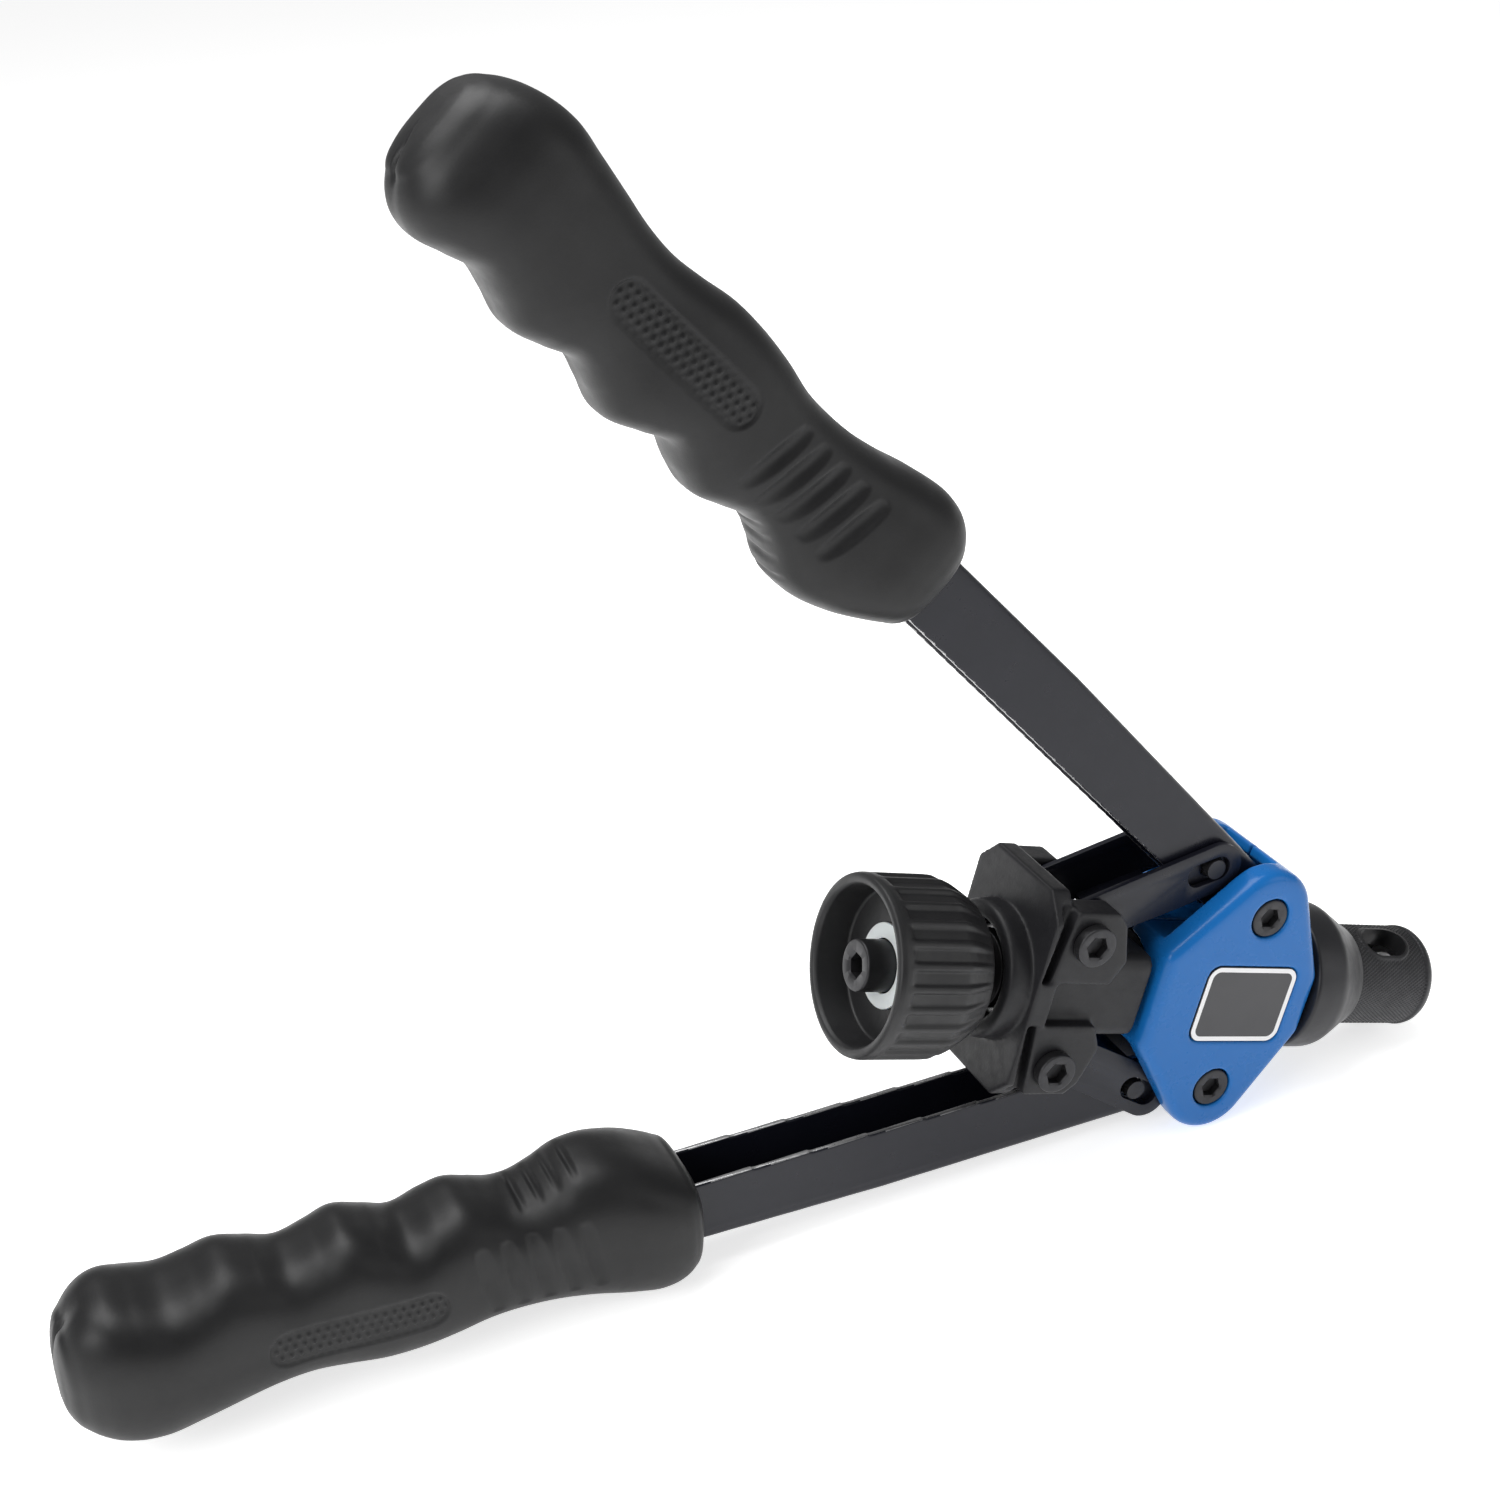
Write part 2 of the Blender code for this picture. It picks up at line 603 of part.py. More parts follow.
def make_arm(name, axis, finish):
    """A channel with its web on the outer side, open towards the other arm."""
    tip = 0.5 * MM
    far = -ARM_LENGTH + tip
    circles = [
        (0, 0, ARM_END_RADIUS),
        (far, ARM_OUTER - tip, tip),
        (far, -ARM_INNER + tip, tip),
        (-ARM_CROWN_AT, ARM_OUTER + ARM_CROWN - tip, tip),
    ]
    arm = slab(f"{name}_arm", tangent_outline(circles), -ARM_HALF_WIDTH, ARM_HALF_WIDTH)

    def on_outer_bend(edge):
        along = abs(edge.verts[0].co.y - edge.verts[1].co.y) < 1e-6
        return along and min(v.co.z for v in edge.verts) > 0.9 * ARM_END_RADIUS

    round_edges(arm, on_outer_bend, ARM_BEND_RADIUS)
    part(arm, axis, finish["black"])
    inside = ARM_HALF_WIDTH - ARM_SHEET
    web_start = -12 * MM
    past = 20 * MM
    hollow = [
        (-ARM_LENGTH - past, -past),
        (past, -past),
        (past, past),
        (web_start, past),
        (web_start, ARM_END_RADIUS - ARM_SHEET),
        (-ARM_CROWN_AT, ARM_OUTER + ARM_CROWN - ARM_SHEET),
        (-ARM_LENGTH - past, ARM_OUTER - ARM_SHEET),
    ]
    boolean(arm, cutter(slab(f"{name}_arm_hollow", hollow, -inside, inside), axis))
    half = 2 * ARM_HALF_WIDTH
    pivot = rod(f"{name}_arm_pivot_hole", -half, half, PIVOT_BUSH_RADIUS + RUNNING_GAP, "Y")
    boolean(arm, cutter(pivot, axis))
    at = (-LINK_PIN_AT, 0, 0)
    hole = rod(f"{name}_arm_link_hole", -half, half, LINK_PIN_RADIUS + SEAT_GAP, "Y", at, 16)
    boolean(arm, cutter(hole, axis))
    reach = LINK_HALF_WIDTH + SEAT_GAP
    pin = rod(f"{name}_link_pin", -reach, reach, LINK_PIN_RADIUS, "Y", at, 16)
    part(pin, axis, finish["steel"])


# Yoke and links.


def lean_outline(rear, front, low, high, up):
    """A strip in the XZ plane that leans forward by GROOVE_LEAN on its way out."""
    return [
        (rear - GROOVE_LEAN, up * low),
        (front - GROOVE_LEAN, up * low),
        (front, up * high),
        (rear, up * high),
    ]


def make_yoke(yoke_axis, finish):
    w, h, c = YOKE_HALF_WIDTH, YOKE_HALF_HEIGHT, YOKE_CORNER
    plate_outline = [(-w, -h + c), (-w + c, -h), (w - c, -h), (w, -h + c)]
    plate_outline += [(w, h - c), (w - c, h), (-w + c, h), (-w, h - c)]
    plate_front = YOKE_REAR + YOKE_PLATE
    yoke = part(slab("yoke", plate_outline, YOKE_REAR, plate_front, "YZ"), yoke_axis, finish["cast"])
    band = w - GROOVE_DEPTH
    for end, up in ends():
        groove_outline = lean_outline(plate_front - GROOVE_WIDTH, plate_front + 2 * MM, TAB_LOW, h + 2 * MM, up)
        for side, sign in sides():
            low, high = sorted((sign * band, sign * (w + 2 * MM)))
            groove = slab(f"{side}_{end}_groove", groove_outline, low, high)
            boolean(yoke, cutter(groove, yoke_axis))
    for end, up in ends():
        top = h - c / 2
        front = [
            (TAB_FRONT - TAB_CHAMFER / 2, up * TAB_LOW),
            (TAB_FRONT, up * (TAB_LOW + TAB_CHAMFER)),
            (TAB_FRONT - TAB_CHAMFER / 2, up * (top - TAB_CHAMFER / 2)),
            (TAB_FRONT - TAB_CHAMFER, up * top),
        ]
        cheek_rear = YOKE_REAR + 1 * MM
        cheek = [(cheek_rear, up * TAB_LOW)] + front + [(cheek_rear, up * top)]
        pad = [(plate_front - GROOVE_LEAN, up * TAB_LOW)] + front + [(plate_front, up * top)]
        for side, sign in sides():
            low, high = sorted((sign * SLOT_HALF_WIDTH, sign * (band - 0.4 * MM)))
            boolean(yoke, cutter(slab(f"{side}_{end}_cheek", cheek, low, high), yoke_axis), "UNION")
            low, high = sorted((sign * (band - 1.5 * MM), sign * (w - SEAT_GAP)))
            boolean(yoke, cutter(slab(f"{side}_{end}_pad", pad, low, high), yoke_axis), "UNION")
    boss_outline = tangent_outline([
        (y * (BOSS_HALF_WIDTH - BOSS_ROUNDING), z * (BOSS_HALF_HEIGHT - BOSS_ROUNDING), BOSS_ROUNDING)
        for y in (1, -1) for z in (1, -1)
    ], 16)
    boss = slab("yoke_boss", boss_outline, plate_front - 2 * MM, BOSS_FRONT, "YZ")
    boolean(yoke, cutter(boss, yoke_axis), "UNION")
    collar = rod("yoke_collar", COLLAR_REAR, YOKE_REAR + 1.5 * MM, COLLAR_RADIUS, steps=FINE)
    boolean(yoke, cutter(collar, yoke_axis), "UNION")
    past = 2 * MM
    bore_radius = SPINDLE_RADIUS + RUNNING_GAP
    pocket_radius = CIRCLIP_RADIUS + 2 * SEAT_GAP
    profile = [
        (BOSS_FRONT + past, 0),
        (BOSS_FRONT + past, pocket_radius),
        (BOSS_FRONT - CIRCLIP_POCKET_DEPTH, pocket_radius),
        (BOSS_FRONT - CIRCLIP_POCKET_DEPTH, bore_radius),
        (COLLAR_RECESS_FLOOR, bore_radius),
        (COLLAR_RECESS_FLOOR, COLLAR_RECESS_RADIUS),
        (COLLAR_REAR - past, COLLAR_RECESS_RADIUS),
        (COLLAR_REAR - past, 0),
    ]
    boolean(yoke, cutter(turned("yoke_bore", profile), yoke_axis))
    for end, up in ends():
        at = (YOKE_BOLT_X, 0, up * YOKE_BOLT_HEIGHT)
        reach = w + past
        hole = rod(f"{end}_yoke_bolt_hole", -reach, reach, YOKE_BOLT_RADIUS + SEAT_GAP, "Y", at)
        boolean(yoke, cutter(hole, yoke_axis))


def make_yoke_fasteners(yoke_axis, finish):
    seat = YOKE_HALF_WIDTH
    bore = YOKE_BOLT_RADIUS + SEAT_GAP
    for name, sign in ends():
        at = (YOKE_BOLT_X, 0, sign * YOKE_BOLT_HEIGHT)
        top = seat + YOKE_HEAD_HEIGHT
        socket_bolt(
            f"{name}_yoke_bolt", at, -top, -seat, YOKE_HEAD_RADIUS,
            top - 1 * MM, YOKE_BOLT_RADIUS, yoke_axis, finish["oxide"],
        )
        nut = ring(f"{name}_yoke_nut", seat, top, YOKE_HEAD_RADIUS, bore, "Y", at, COARSE)
        part(nut, yoke_axis, finish["oxide"])
        half = SLOT_HALF_WIDTH - SEAT_GAP
        bush = ring(f"{name}_link_bush", -half, half, YOKE_BUSH_RADIUS, bore, "Y", at, COARSE)
        part(bush, yoke_axis, finish["steel"])


def link_line(sign):
    """(length, angle) of the line from a yoke bolt to the link pin in its arm, on the upper or lower side."""
    arm_angle = math.radians(UPPER_ARM_DEG if sign > 0 else LOWER_ARM_DEG)
    along = -LINK_PIN_AT * math.cos(arm_angle) - YOKE_BOLT_X
    up = PIVOT_HEIGHT + LINK_PIN_AT * math.sin(arm_angle) - YOKE_BOLT_HEIGHT
    return math.hypot(along, up), math.atan2(up, along)


def make_link(name, axis, finish):
    """A channel open to the outer side, whose front ends straddle the arm with a slot for its pin."""
    half = LINK_HALF_WIDTH
    inside = half - LINK_SHEET
    slot_start = link_line(-1)[0] - LINK_SLOT_BEFORE
    slot_end = link_line(1)[0] + LINK_SLOT_PAST
    circles = [
        (0, 0, LINK_REAR_RADIUS),
        (LINK_WEB_START, -LINK_DEPTH + 1 * MM, 1 * MM),
        (LINK_WEB_END, -LINK_DEPTH + 1 * MM, 1 * MM),
        (slot_end, 0, LINK_FRONT_RADIUS),
    ]
    link = part(slab(f"{name}_link", tangent_outline(circles), -half, half), axis, finish["black"])
    past = 30 * MM
    web = -LINK_DEPTH + LINK_SHEET
    hollow = [
        (-past, -past), (LINK_WEB_START, -past), (LINK_WEB_START, web), (LINK_WEB_END, web),
        (LINK_WEB_END, -past), (3 * past, -past), (3 * past, past), (-past, past),
    ]
    boolean(link, cutter(slab(f"{name}_link_hollow", hollow, -inside, inside), axis))
    reach = 2 * half
    hole = rod(f"{name}_link_bush_hole", -reach, reach, YOKE_BUSH_RADIUS + RUNNING_GAP, "Y")
    boolean(link, cutter(hole, axis))
    slot_radius = LINK_PIN_RADIUS + SLIDING_GAP
    slot_outline = tangent_outline([(slot_start, 0, slot_radius), (slot_end, 0, slot_radius)])
    boolean(link, cutter(slab(f"{name}_link_slot", slot_outline, -reach, reach), axis))


# Spindle.


def make_spindle(spindle_axis, finish):
    flange_front = COLLAR_RECESS_FLOOR - THRUST_WASHER_THICKNESS - 2 * SEAT_GAP
    flange_rear = flange_front - FLANGE_THICKNESS
    chamfer = 0.5 * MM
    profile = [
        (SPINDLE_FRONT + SPIGOT_LENGTH, 0),
        (SPINDLE_FRONT + SPIGOT_LENGTH, SPIGOT_RADIUS),
        (SPINDLE_FRONT, SPIGOT_RADIUS),
        (SPINDLE_FRONT, SPINDLE_RADIUS),
        (flange_front, SPINDLE_RADIUS),
        (flange_front, FLANGE_RADIUS),
        (flange_rear, FLANGE_RADIUS),
        (flange_rear, SPINDLE_RADIUS),
        (SPINDLE_REAR + chamfer, SPINDLE_RADIUS),
        (SPINDLE_REAR, SPINDLE_RADIUS - chamfer),
        (SPINDLE_REAR, 0),
    ]
    spindle = part(turned("spindle", profile), spindle_axis, finish["oxide"])
    socket_depth = 6 * MM
    low, high = SPINDLE_REAR - 2 * MM, SPINDLE_REAR + socket_depth
    socket = hex_prism("spindle_socket", low, high, 1.1 * SOCKET_RADIUS, (0, 0, 0), "X")
    boolean(spindle, cutter(socket, spindle_axis))
    groove_bore = SPINDLE_RADIUS + SEAT_GAP
    front = COLLAR_RECESS_FLOOR - SEAT_GAP
    washer = ring("thrust_washer", front - THRUST_WASHER_THICKNESS, front, THRUST_WASHER_RADIUS, groove_bore)
    part(washer, spindle_axis, finish["steel"])
    low = BOSS_FRONT - CIRCLIP_POCKET_DEPTH + SEAT_GAP
    circlip = ring("spindle_circlip", low, low + CIRCLIP_THICKNESS, CIRCLIP_RADIUS, groove_bore)
    part(circlip, spindle_axis, finish["steel"])
    low = SPINDLE_FRONT + SEAT_GAP
    coupling_bore = SPIGOT_RADIUS + SEAT_GAP
    coupling = ring("mandrel_coupling", low, low + COUPLING_LENGTH, COUPLING_RADIUS, coupling_bore)
    part(coupling, spindle_axis, finish["steel"])


def make_knob(spindle_axis, finish):
    bore = SPINDLE_RADIUS + SEAT_GAP
    floor = KNOB_REAR + KNOB_CUP_DEPTH
    cup = KNOB_RADIUS - KNOB_WALL
    lip = 0.7 * MM
    profile = [
        (KNOB_FRONT, KNOB_FRONT_RADIUS),
        (KNOB_FRONT - KNOB_CHAMFER_LENGTH, KNOB_RADIUS - lip),
        (KNOB_FRONT - KNOB_CHAMFER_LENGTH - 2 * lip, KNOB_RADIUS),
        (KNOB_REAR + lip, KNOB_RADIUS),
        (KNOB_REAR, KNOB_RADIUS - lip),
        (KNOB_REAR, cup + lip),
        (KNOB_REAR + lip, cup),
        (floor, cup - lip),
        (floor, bore),
        (KNOB_FRONT, bore),
    ]
    part(turned("knob", profile), spindle_axis, finish["plastic"])
    rear = floor - SEAT_GAP - KNOB_WASHER_THICKNESS
    washer = ring("knob_washer", rear, floor - SEAT_GAP, KNOB_WASHER_RADIUS, bore)
    part(washer, spindle_axis, finish["nylon"])


# Stance.


def tool_points(objects):
    """Every evaluated vertex of the objects, in world space."""
    graph = bpy.context.evaluated_depsgraph_get()
    found = []
    for obj in objects:
        evaluated = obj.evaluated_get(graph)
        mesh = evaluated.to_mesh()
        points = np.empty(len(mesh.vertices) * 3, np.float32)
        mesh.vertices.foreach_get("co", points)
        evaluated.to_mesh_clear()
        world = np.array(obj.matrix_world)
        found.append(points.reshape(-1, 3) @ world[:3, :3].T + world[:3, 3])
    return np.concatenate(found)


def stand_on_floor(tool):
    """Tilts the tool until the lower grip and the head touch the floor, then centres it on the origin."""
    bpy.context.view_layer.update()
    grip = tool_points([bpy.data.objects["lower_grip"]])
    head = tool_points([bpy.data.objects["near_cover"]])
    tilt = 0.0
    for _ in range(6):
        c, s = math.cos(tilt), math.sin(tilt)
        low_grip = grip[np.argmin(grip[:, 2] * c - grip[:, 0] * s)]
        low_head = head[np.argmin(head[:, 2] * c - head[:, 0] * s)]
        tilt = math.atan2(low_head[2] - low_grip[2], low_head[0] - low_grip[0])
    tool.rotation_euler = (0, tilt, 0)
    bpy.context.view_layer.update()
    points = tool_points([obj for obj in PARTS.objects if obj.type == "MESH"])
    low, high = points.min(axis=0), points.max(axis=0)
    tool.location = (-(low[0] + high[0]) / 2, -(low[1] + high[1]) / 2, -low[2])


def main():
    finish = make_finishes()
    tool = empty("tool_frame")
    sleeve_axis = empty("nose_sleeve_axis", tool)
    yoke_axis = empty("yoke_axis", tool)
    spindle_axis = empty("spindle_axis", yoke_axis)
    make_covers(tool, finish)
    make_head_core(tool, finish)
    make_pivot_fasteners(tool, finish)
    make_nose(tool, sleeve_axis, finish)
    make_yoke(yoke_axis, finish)
    make_yoke_fasteners(yoke_axis, finish)
    make_spindle(spindle_axis, finish)
    make_knob(spindle_axis, finish)
    arm_angles = {"upper": UPPER_ARM_DEG, "lower": LOWER_ARM_DEG}
    for name, sign in ends():
        flip = 0 if sign > 0 else math.pi
        turned_by = (flip, sign * math.radians(arm_angles[name]), 0)
        arm_axis = empty(f"{name}_arm_axis", tool, (0, 0, sign * PIVOT_HEIGHT), turned_by)
        make_arm(name, arm_axis, finish)
        make_grip(name, arm_axis, finish)
        turned_by = (flip, -sign * link_line(sign)[1], 0)
        link_at = (YOKE_BOLT_X, 0, sign * YOKE_BOLT_HEIGHT)
        link_axis = empty(f"{name}_link_axis", yoke_axis, link_at, turned_by)
        make_link(name, link_axis, finish)
    stand_on_floor(tool)


clear_scene()
PARTS = new_collection("hand_riveter")
CUTTERS = new_collection("hand_riveter_cutters", hidden=True)
main()
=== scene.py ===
# %% [markdown]
# # A two-handed rivet-nut setter
#
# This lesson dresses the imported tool: a blue head, two channel arms with moulded grips, a cast yoke,
# a fluted knob and a knurled nose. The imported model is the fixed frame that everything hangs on, so
# it is loaded first. Each later step makes one piece as a surface worked out with numpy, or refines
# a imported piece, and lets it ride on the body that it belongs to.

import json
import math

import bmesh
import bpy
import numpy as np
from mathutils import Matrix, Vector

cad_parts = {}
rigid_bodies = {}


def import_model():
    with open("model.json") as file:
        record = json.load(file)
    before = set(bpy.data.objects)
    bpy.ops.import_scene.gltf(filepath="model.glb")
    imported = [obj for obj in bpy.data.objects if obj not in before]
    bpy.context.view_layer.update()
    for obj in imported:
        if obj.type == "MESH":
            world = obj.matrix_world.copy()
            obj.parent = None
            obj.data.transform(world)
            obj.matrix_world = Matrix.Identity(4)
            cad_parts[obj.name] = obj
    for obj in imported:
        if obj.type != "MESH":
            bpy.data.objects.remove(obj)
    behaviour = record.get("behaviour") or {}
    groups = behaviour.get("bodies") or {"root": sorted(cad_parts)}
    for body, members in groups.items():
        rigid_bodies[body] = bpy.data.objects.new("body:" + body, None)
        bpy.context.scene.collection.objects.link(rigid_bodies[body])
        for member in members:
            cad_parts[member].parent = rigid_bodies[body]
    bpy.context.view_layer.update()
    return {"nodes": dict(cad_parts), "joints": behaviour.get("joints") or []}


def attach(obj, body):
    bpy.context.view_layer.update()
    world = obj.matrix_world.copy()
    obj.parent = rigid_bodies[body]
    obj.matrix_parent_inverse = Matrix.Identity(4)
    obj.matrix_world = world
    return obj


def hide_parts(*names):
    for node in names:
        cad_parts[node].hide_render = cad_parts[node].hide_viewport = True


for leftover in list(bpy.data.objects):
    bpy.data.objects.remove(leftover, do_unlink=True)
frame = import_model()

# %% [markdown]
# The tool stands nose-down, so its own axes are tilted. They can be read from its hinges: the two
# handle hinges give the upward direction and the middle of the head, and the knob's hinge points
# along the spindle. Every size below is then in millimetres along the tool's own axes: along the
# spindle to the nose, across to the far cover, and up to the upper handle.

# %% Find the tool's own axes
MM = 0.001
joints = {joint["name"]: joint for joint in frame["joints"]}
upper_hinge = np.array(joints["upper_handle_hinge"]["pos_m"])
lower_hinge = np.array(joints["lower_handle_hinge"]["pos_m"])
head_centre = (upper_hinge + lower_hinge) / 2
pivot_height = float(np.linalg.norm(upper_hinge - lower_hinge)) / 2 / MM
forward = np.array(joints["knob_turn"]["axis"])
upward = (upper_hinge - lower_hinge) / (2 * pivot_height * MM)
tool_axes = np.array([forward, np.cross(upward, forward), upward])


def in_tool(points):
    """World points of tool millimetres: each number times its axis, from the head's middle."""
    return np.asarray(points, float) * MM @ tool_axes + head_centre


print("pivots at", round(pivot_height, 2), "mm from the spindle, axis", np.round(forward, 3))

# %% [markdown]
# Each arm has its own axes too: the distance from its pivot, across, and outwards from the other
# arm. The arm's rest angle is the angle that its grip makes with the spindle.

# %% Place points along an arm
GRIP_END = 275.4
ARM_ANGLE = {"upper": math.radians(31.5), "lower": math.radians(16.0)}


def in_arm(side, points):
    """World points of arm millimetres (distance from the pivot, across, outwards)."""
    sign = 1 if side == "upper" else -1
    c, s = math.cos(ARM_ANGLE[side]), math.sin(ARM_ANGLE[side])
    axes = np.array([[-c, 0, sign * s], [0, 1, 0], [s, 0, sign * c]])
    return in_tool(np.asarray(points) @ axes + [0, 0, sign * pivot_height])


print("upper grip ends at", np.round(in_arm("upper", [GRIP_END, 0, 0]), 3))

# %% [markdown]
# ## Camera, floor and light
# The camera looks from behind the knob, a little above it, with a normal lens. The floor is a plain
# pale sheet. Large soft lamps above and to each side lay long highlights on the black pieces.
#
# Black finishes turn grey under a bright sky. So the sky is drawn white for the camera, but lights the
# tool at about a quarter of that. The floor then needs a little light of its own to stay pale.

# %% Camera
camera_data = bpy.data.cameras.new("camera")
camera_data.sensor_width = 36.0
camera_data.lens = 52.8
camera = bpy.data.objects.new("camera", camera_data)
bpy.context.scene.collection.objects.link(camera)
bpy.context.scene.camera = camera
CAMERA_AT = [-354.17, -384.67, 207.05]
LOOK = np.array([0.45805, 0.82387, -0.33380]) @ tool_axes
LOOK_UP = np.array([-0.05916, 0.40293, 0.91332]) @ tool_axes
LOOK_RIGHT = np.cross(LOOK, LOOK_UP)
camera_matrix = np.eye(4)
camera_matrix[:3, :3] = np.column_stack([LOOK_RIGHT, LOOK_UP, -LOOK])
camera_matrix[:3, 3] = in_tool(CAMERA_AT)
camera.matrix_world = Matrix(camera_matrix.tolist())
print("camera at", np.round(camera_matrix[:3, 3], 3))

# %% Floor and light
scene = bpy.context.scene
scene.view_settings.view_transform = "Standard"


def lamp(name, at, aim, size, power):
    """A square soft lamp at a point, turned towards another."""
    data = bpy.data.lights.new(name, "AREA")
    data.shape = "SQUARE"
    data.size = size
    data.energy = power
    item = bpy.data.objects.new(name, data)
    bpy.context.scene.collection.objects.link(item)
    item.location = at
    towards = Vector(aim) - item.location
    item.rotation_euler = towards.to_track_quat("-Z", "Y").to_euler()


lamp("top_lamp", (-0.15, 0.25, 1.1), (0.05, 0.0, 0.1), 0.9, 13.0)
lamp("left_lamp", (-1.0, -0.35, 0.75), (0.0, 0.0, 0.12), 0.7, 7.5)
lamp("right_lamp", (0.9, -0.8, 0.5), (0.05, 0.0, 0.1), 0.7, 2.0)
SKY_AS_LIGHT = 0.26
world = bpy.data.worlds.new("studio")
world.use_nodes = True
sky = world.node_tree.nodes["Background"]
sky.inputs["Color"].default_value = (1.0, 1.0, 1.0, 1.0)
ray = world.node_tree.nodes.new("ShaderNodeLightPath")
brightness = world.node_tree.nodes.new("ShaderNodeMapRange")
brightness.inputs["To Min"].default_value = SKY_AS_LIGHT
brightness.inputs["To Max"].default_value = 1.0
world.node_tree.links.new(ray.outputs["Is Camera Ray"], brightness.inputs["Value"])
world.node_tree.links.new(brightness.outputs["Result"], sky.inputs["Strength"])
scene.world = world
floor_mesh = bpy.data.meshes.new("floor")
FLOOR_REACH = 30.0
FLOOR_DROP = 0.0002
corners = np.array([(-1, -1, 0), (1, -1, 0), (1, 1, 0), (-1, 1, 0)], float) * FLOOR_REACH
floor_mesh.from_pydata((corners - [0, 0, FLOOR_DROP]).tolist(), [], [(0, 1, 2, 3)])
floor = bpy.data.objects.new("floor", floor_mesh)
bpy.context.scene.collection.objects.link(floor)
print("lamps and floor in place")

# %% [markdown]
# ## Finishes
# A real finish is never one flat colour. One helper builds each material from the same parts: a slow
# noise that shifts the colour a little, a second that makes the gloss uneven, and a fine one that
# raises a grain in the surface. All three read the object's own coordinates, so they stay put when
# the tool moves.

# %% One helper for every finish


def add_node(tree, kind, **inputs):
    """A node with some inputs set, each named as its socket with _ for a space."""
    node = tree.nodes.new(kind)
    for name, value in inputs.items():
        node.inputs[name.replace("_", " ")].default_value = value
    return node


def finish(name, dark, light, rough, metallic=0.0, cloud=60.0, grain=900.0, relief=0.02, detail=3.0,
           **shader):
    """A material whose colour runs from dark to light and whose roughness runs over the pair rough."""
    material = bpy.data.materials.new(name)
    material.use_nodes = True
    tree = material.node_tree
    surface = tree.nodes["Principled BSDF"]
    place = tree.nodes.new("ShaderNodeTexCoord").outputs["Object"]
    slow = add_node(tree, "ShaderNodeTexNoise", Scale=cloud, Detail=detail, Roughness=0.6)
    tree.links.new(place, slow.inputs["Vector"])
    tint = add_node(tree, "ShaderNodeMix")
    tint.data_type = "RGBA"
    tint.inputs[6].default_value = (*dark, 1.0)
    tint.inputs[7].default_value = (*light, 1.0)
    tree.links.new(slow.outputs["Fac"], tint.inputs[0])
    tree.links.new(tint.outputs[2], surface.inputs["Base Color"])
    uneven = add_node(tree, "ShaderNodeTexNoise", Scale=cloud * 2.7, Detail=4.0, Roughness=0.65)
    tree.links.new(place, uneven.inputs["Vector"])
    spread = add_node(tree, "ShaderNodeMapRange")
    spread.inputs["From Min"].default_value = 0.3
    spread.inputs["From Max"].default_value = 0.7
    spread.inputs["To Min"].default_value = rough[0]
    spread.inputs["To Max"].default_value = rough[1]
    tree.links.new(uneven.outputs["Fac"], spread.inputs["Value"])
    tree.links.new(spread.outputs["Result"], surface.inputs["Roughness"])
    fine = add_node(tree, "ShaderNodeTexNoise", Scale=grain, Detail=3.0, Roughness=0.55)
    tree.links.new(place, fine.inputs["Vector"])
    bump = add_node(tree, "ShaderNodeBump", Strength=0.6, Distance=relief * MM)
    tree.links.new(fine.outputs["Fac"], bump.inputs["Height"])
    tree.links.new(bump.outputs["Normal"], surface.inputs["Normal"])
    surface.inputs["Metallic"].default_value = metallic
    for socket, value in shader.items():
        surface.inputs[socket.replace("_", " ")].default_value = value
    return material


print("finish helper ready")

# %% [markdown]
# The head is blue enamel with a clear top coat. The arms and links are pressed steel in a bluish
# black paint, the yoke is a painted casting with a sandy skin, and the nose and bolts are steel
# blackened in oil. The grips are matt rubber and the knob is moulded plastic, each with its own
# fine grain.

# %% Make the finishes
blue_enamel = finish("blue_enamel", (0.006, 0.118, 0.38), (0.008, 0.130, 0.41), (0.24, 0.32),
                     cloud=40.0, grain=900.0, relief=0.004, Coat_Weight=0.06, Coat_Roughness=0.12,
                     Specular_IOR_Level=0.25)
black_paint = finish("black_paint", (0.0055, 0.006, 0.0105), (0.010, 0.0105, 0.017), (0.26, 0.38),
                     cloud=90.0, grain=1100.0, relief=0.008, Coat_Weight=0.04, Coat_Roughness=0.2,
                     Specular_IOR_Level=0.3)
cast_black = finish("cast_black", (0.008, 0.008, 0.0095), (0.014, 0.014, 0.016), (0.40, 0.54),
                    cloud=120.0, grain=1500.0, relief=0.05, detail=5.0, Specular_IOR_Level=0.3)
turned_black = finish("turned_black", (0.010, 0.010, 0.012), (0.018, 0.018, 0.021), (0.34, 0.46),
                      metallic=0.25, cloud=110.0, grain=1800.0, relief=0.02)
black_oxide = finish("black_oxide", (0.026, 0.026, 0.028), (0.05, 0.05, 0.053), (0.34, 0.48),
                     metallic=0.75, cloud=150.0, grain=2000.0, relief=0.015)
bright_steel = finish("bright_steel", (0.42, 0.42, 0.43), (0.58, 0.58, 0.58), (0.26, 0.4),
                      metallic=1.0, cloud=200.0, grain=2500.0, relief=0.01)
# Bright grey rim finish for the arms: partly bare-metal wear, partly a painted highlight along the edges.
worn_and_highlight_rim = finish("worn_and_highlight_rim", (0.22, 0.22, 0.23), (0.60, 0.60, 0.60), (0.24, 0.36),
                   metallic=0.9, cloud=260.0, grain=2500.0, relief=0.01)
grip_rubber = finish("grip_rubber", (0.0045, 0.0045, 0.005), (0.009, 0.009, 0.0095), (0.40, 0.52),
                     cloud=45.0, grain=2600.0, relief=0.03, detail=5.0, Specular_IOR_Level=0.33)
knob_plastic = finish("knob_plastic", (0.008, 0.008, 0.009), (0.014, 0.014, 0.015), (0.40, 0.54),
                      cloud=80.0, grain=2200.0, relief=0.025, Specular_IOR_Level=0.42)
white_nylon = finish("white_nylon", (0.70, 0.70, 0.67), (0.80, 0.80, 0.78), (0.40, 0.55),
                     cloud=150.0, grain=1500.0, relief=0.02, Subsurface_Weight=0.15)
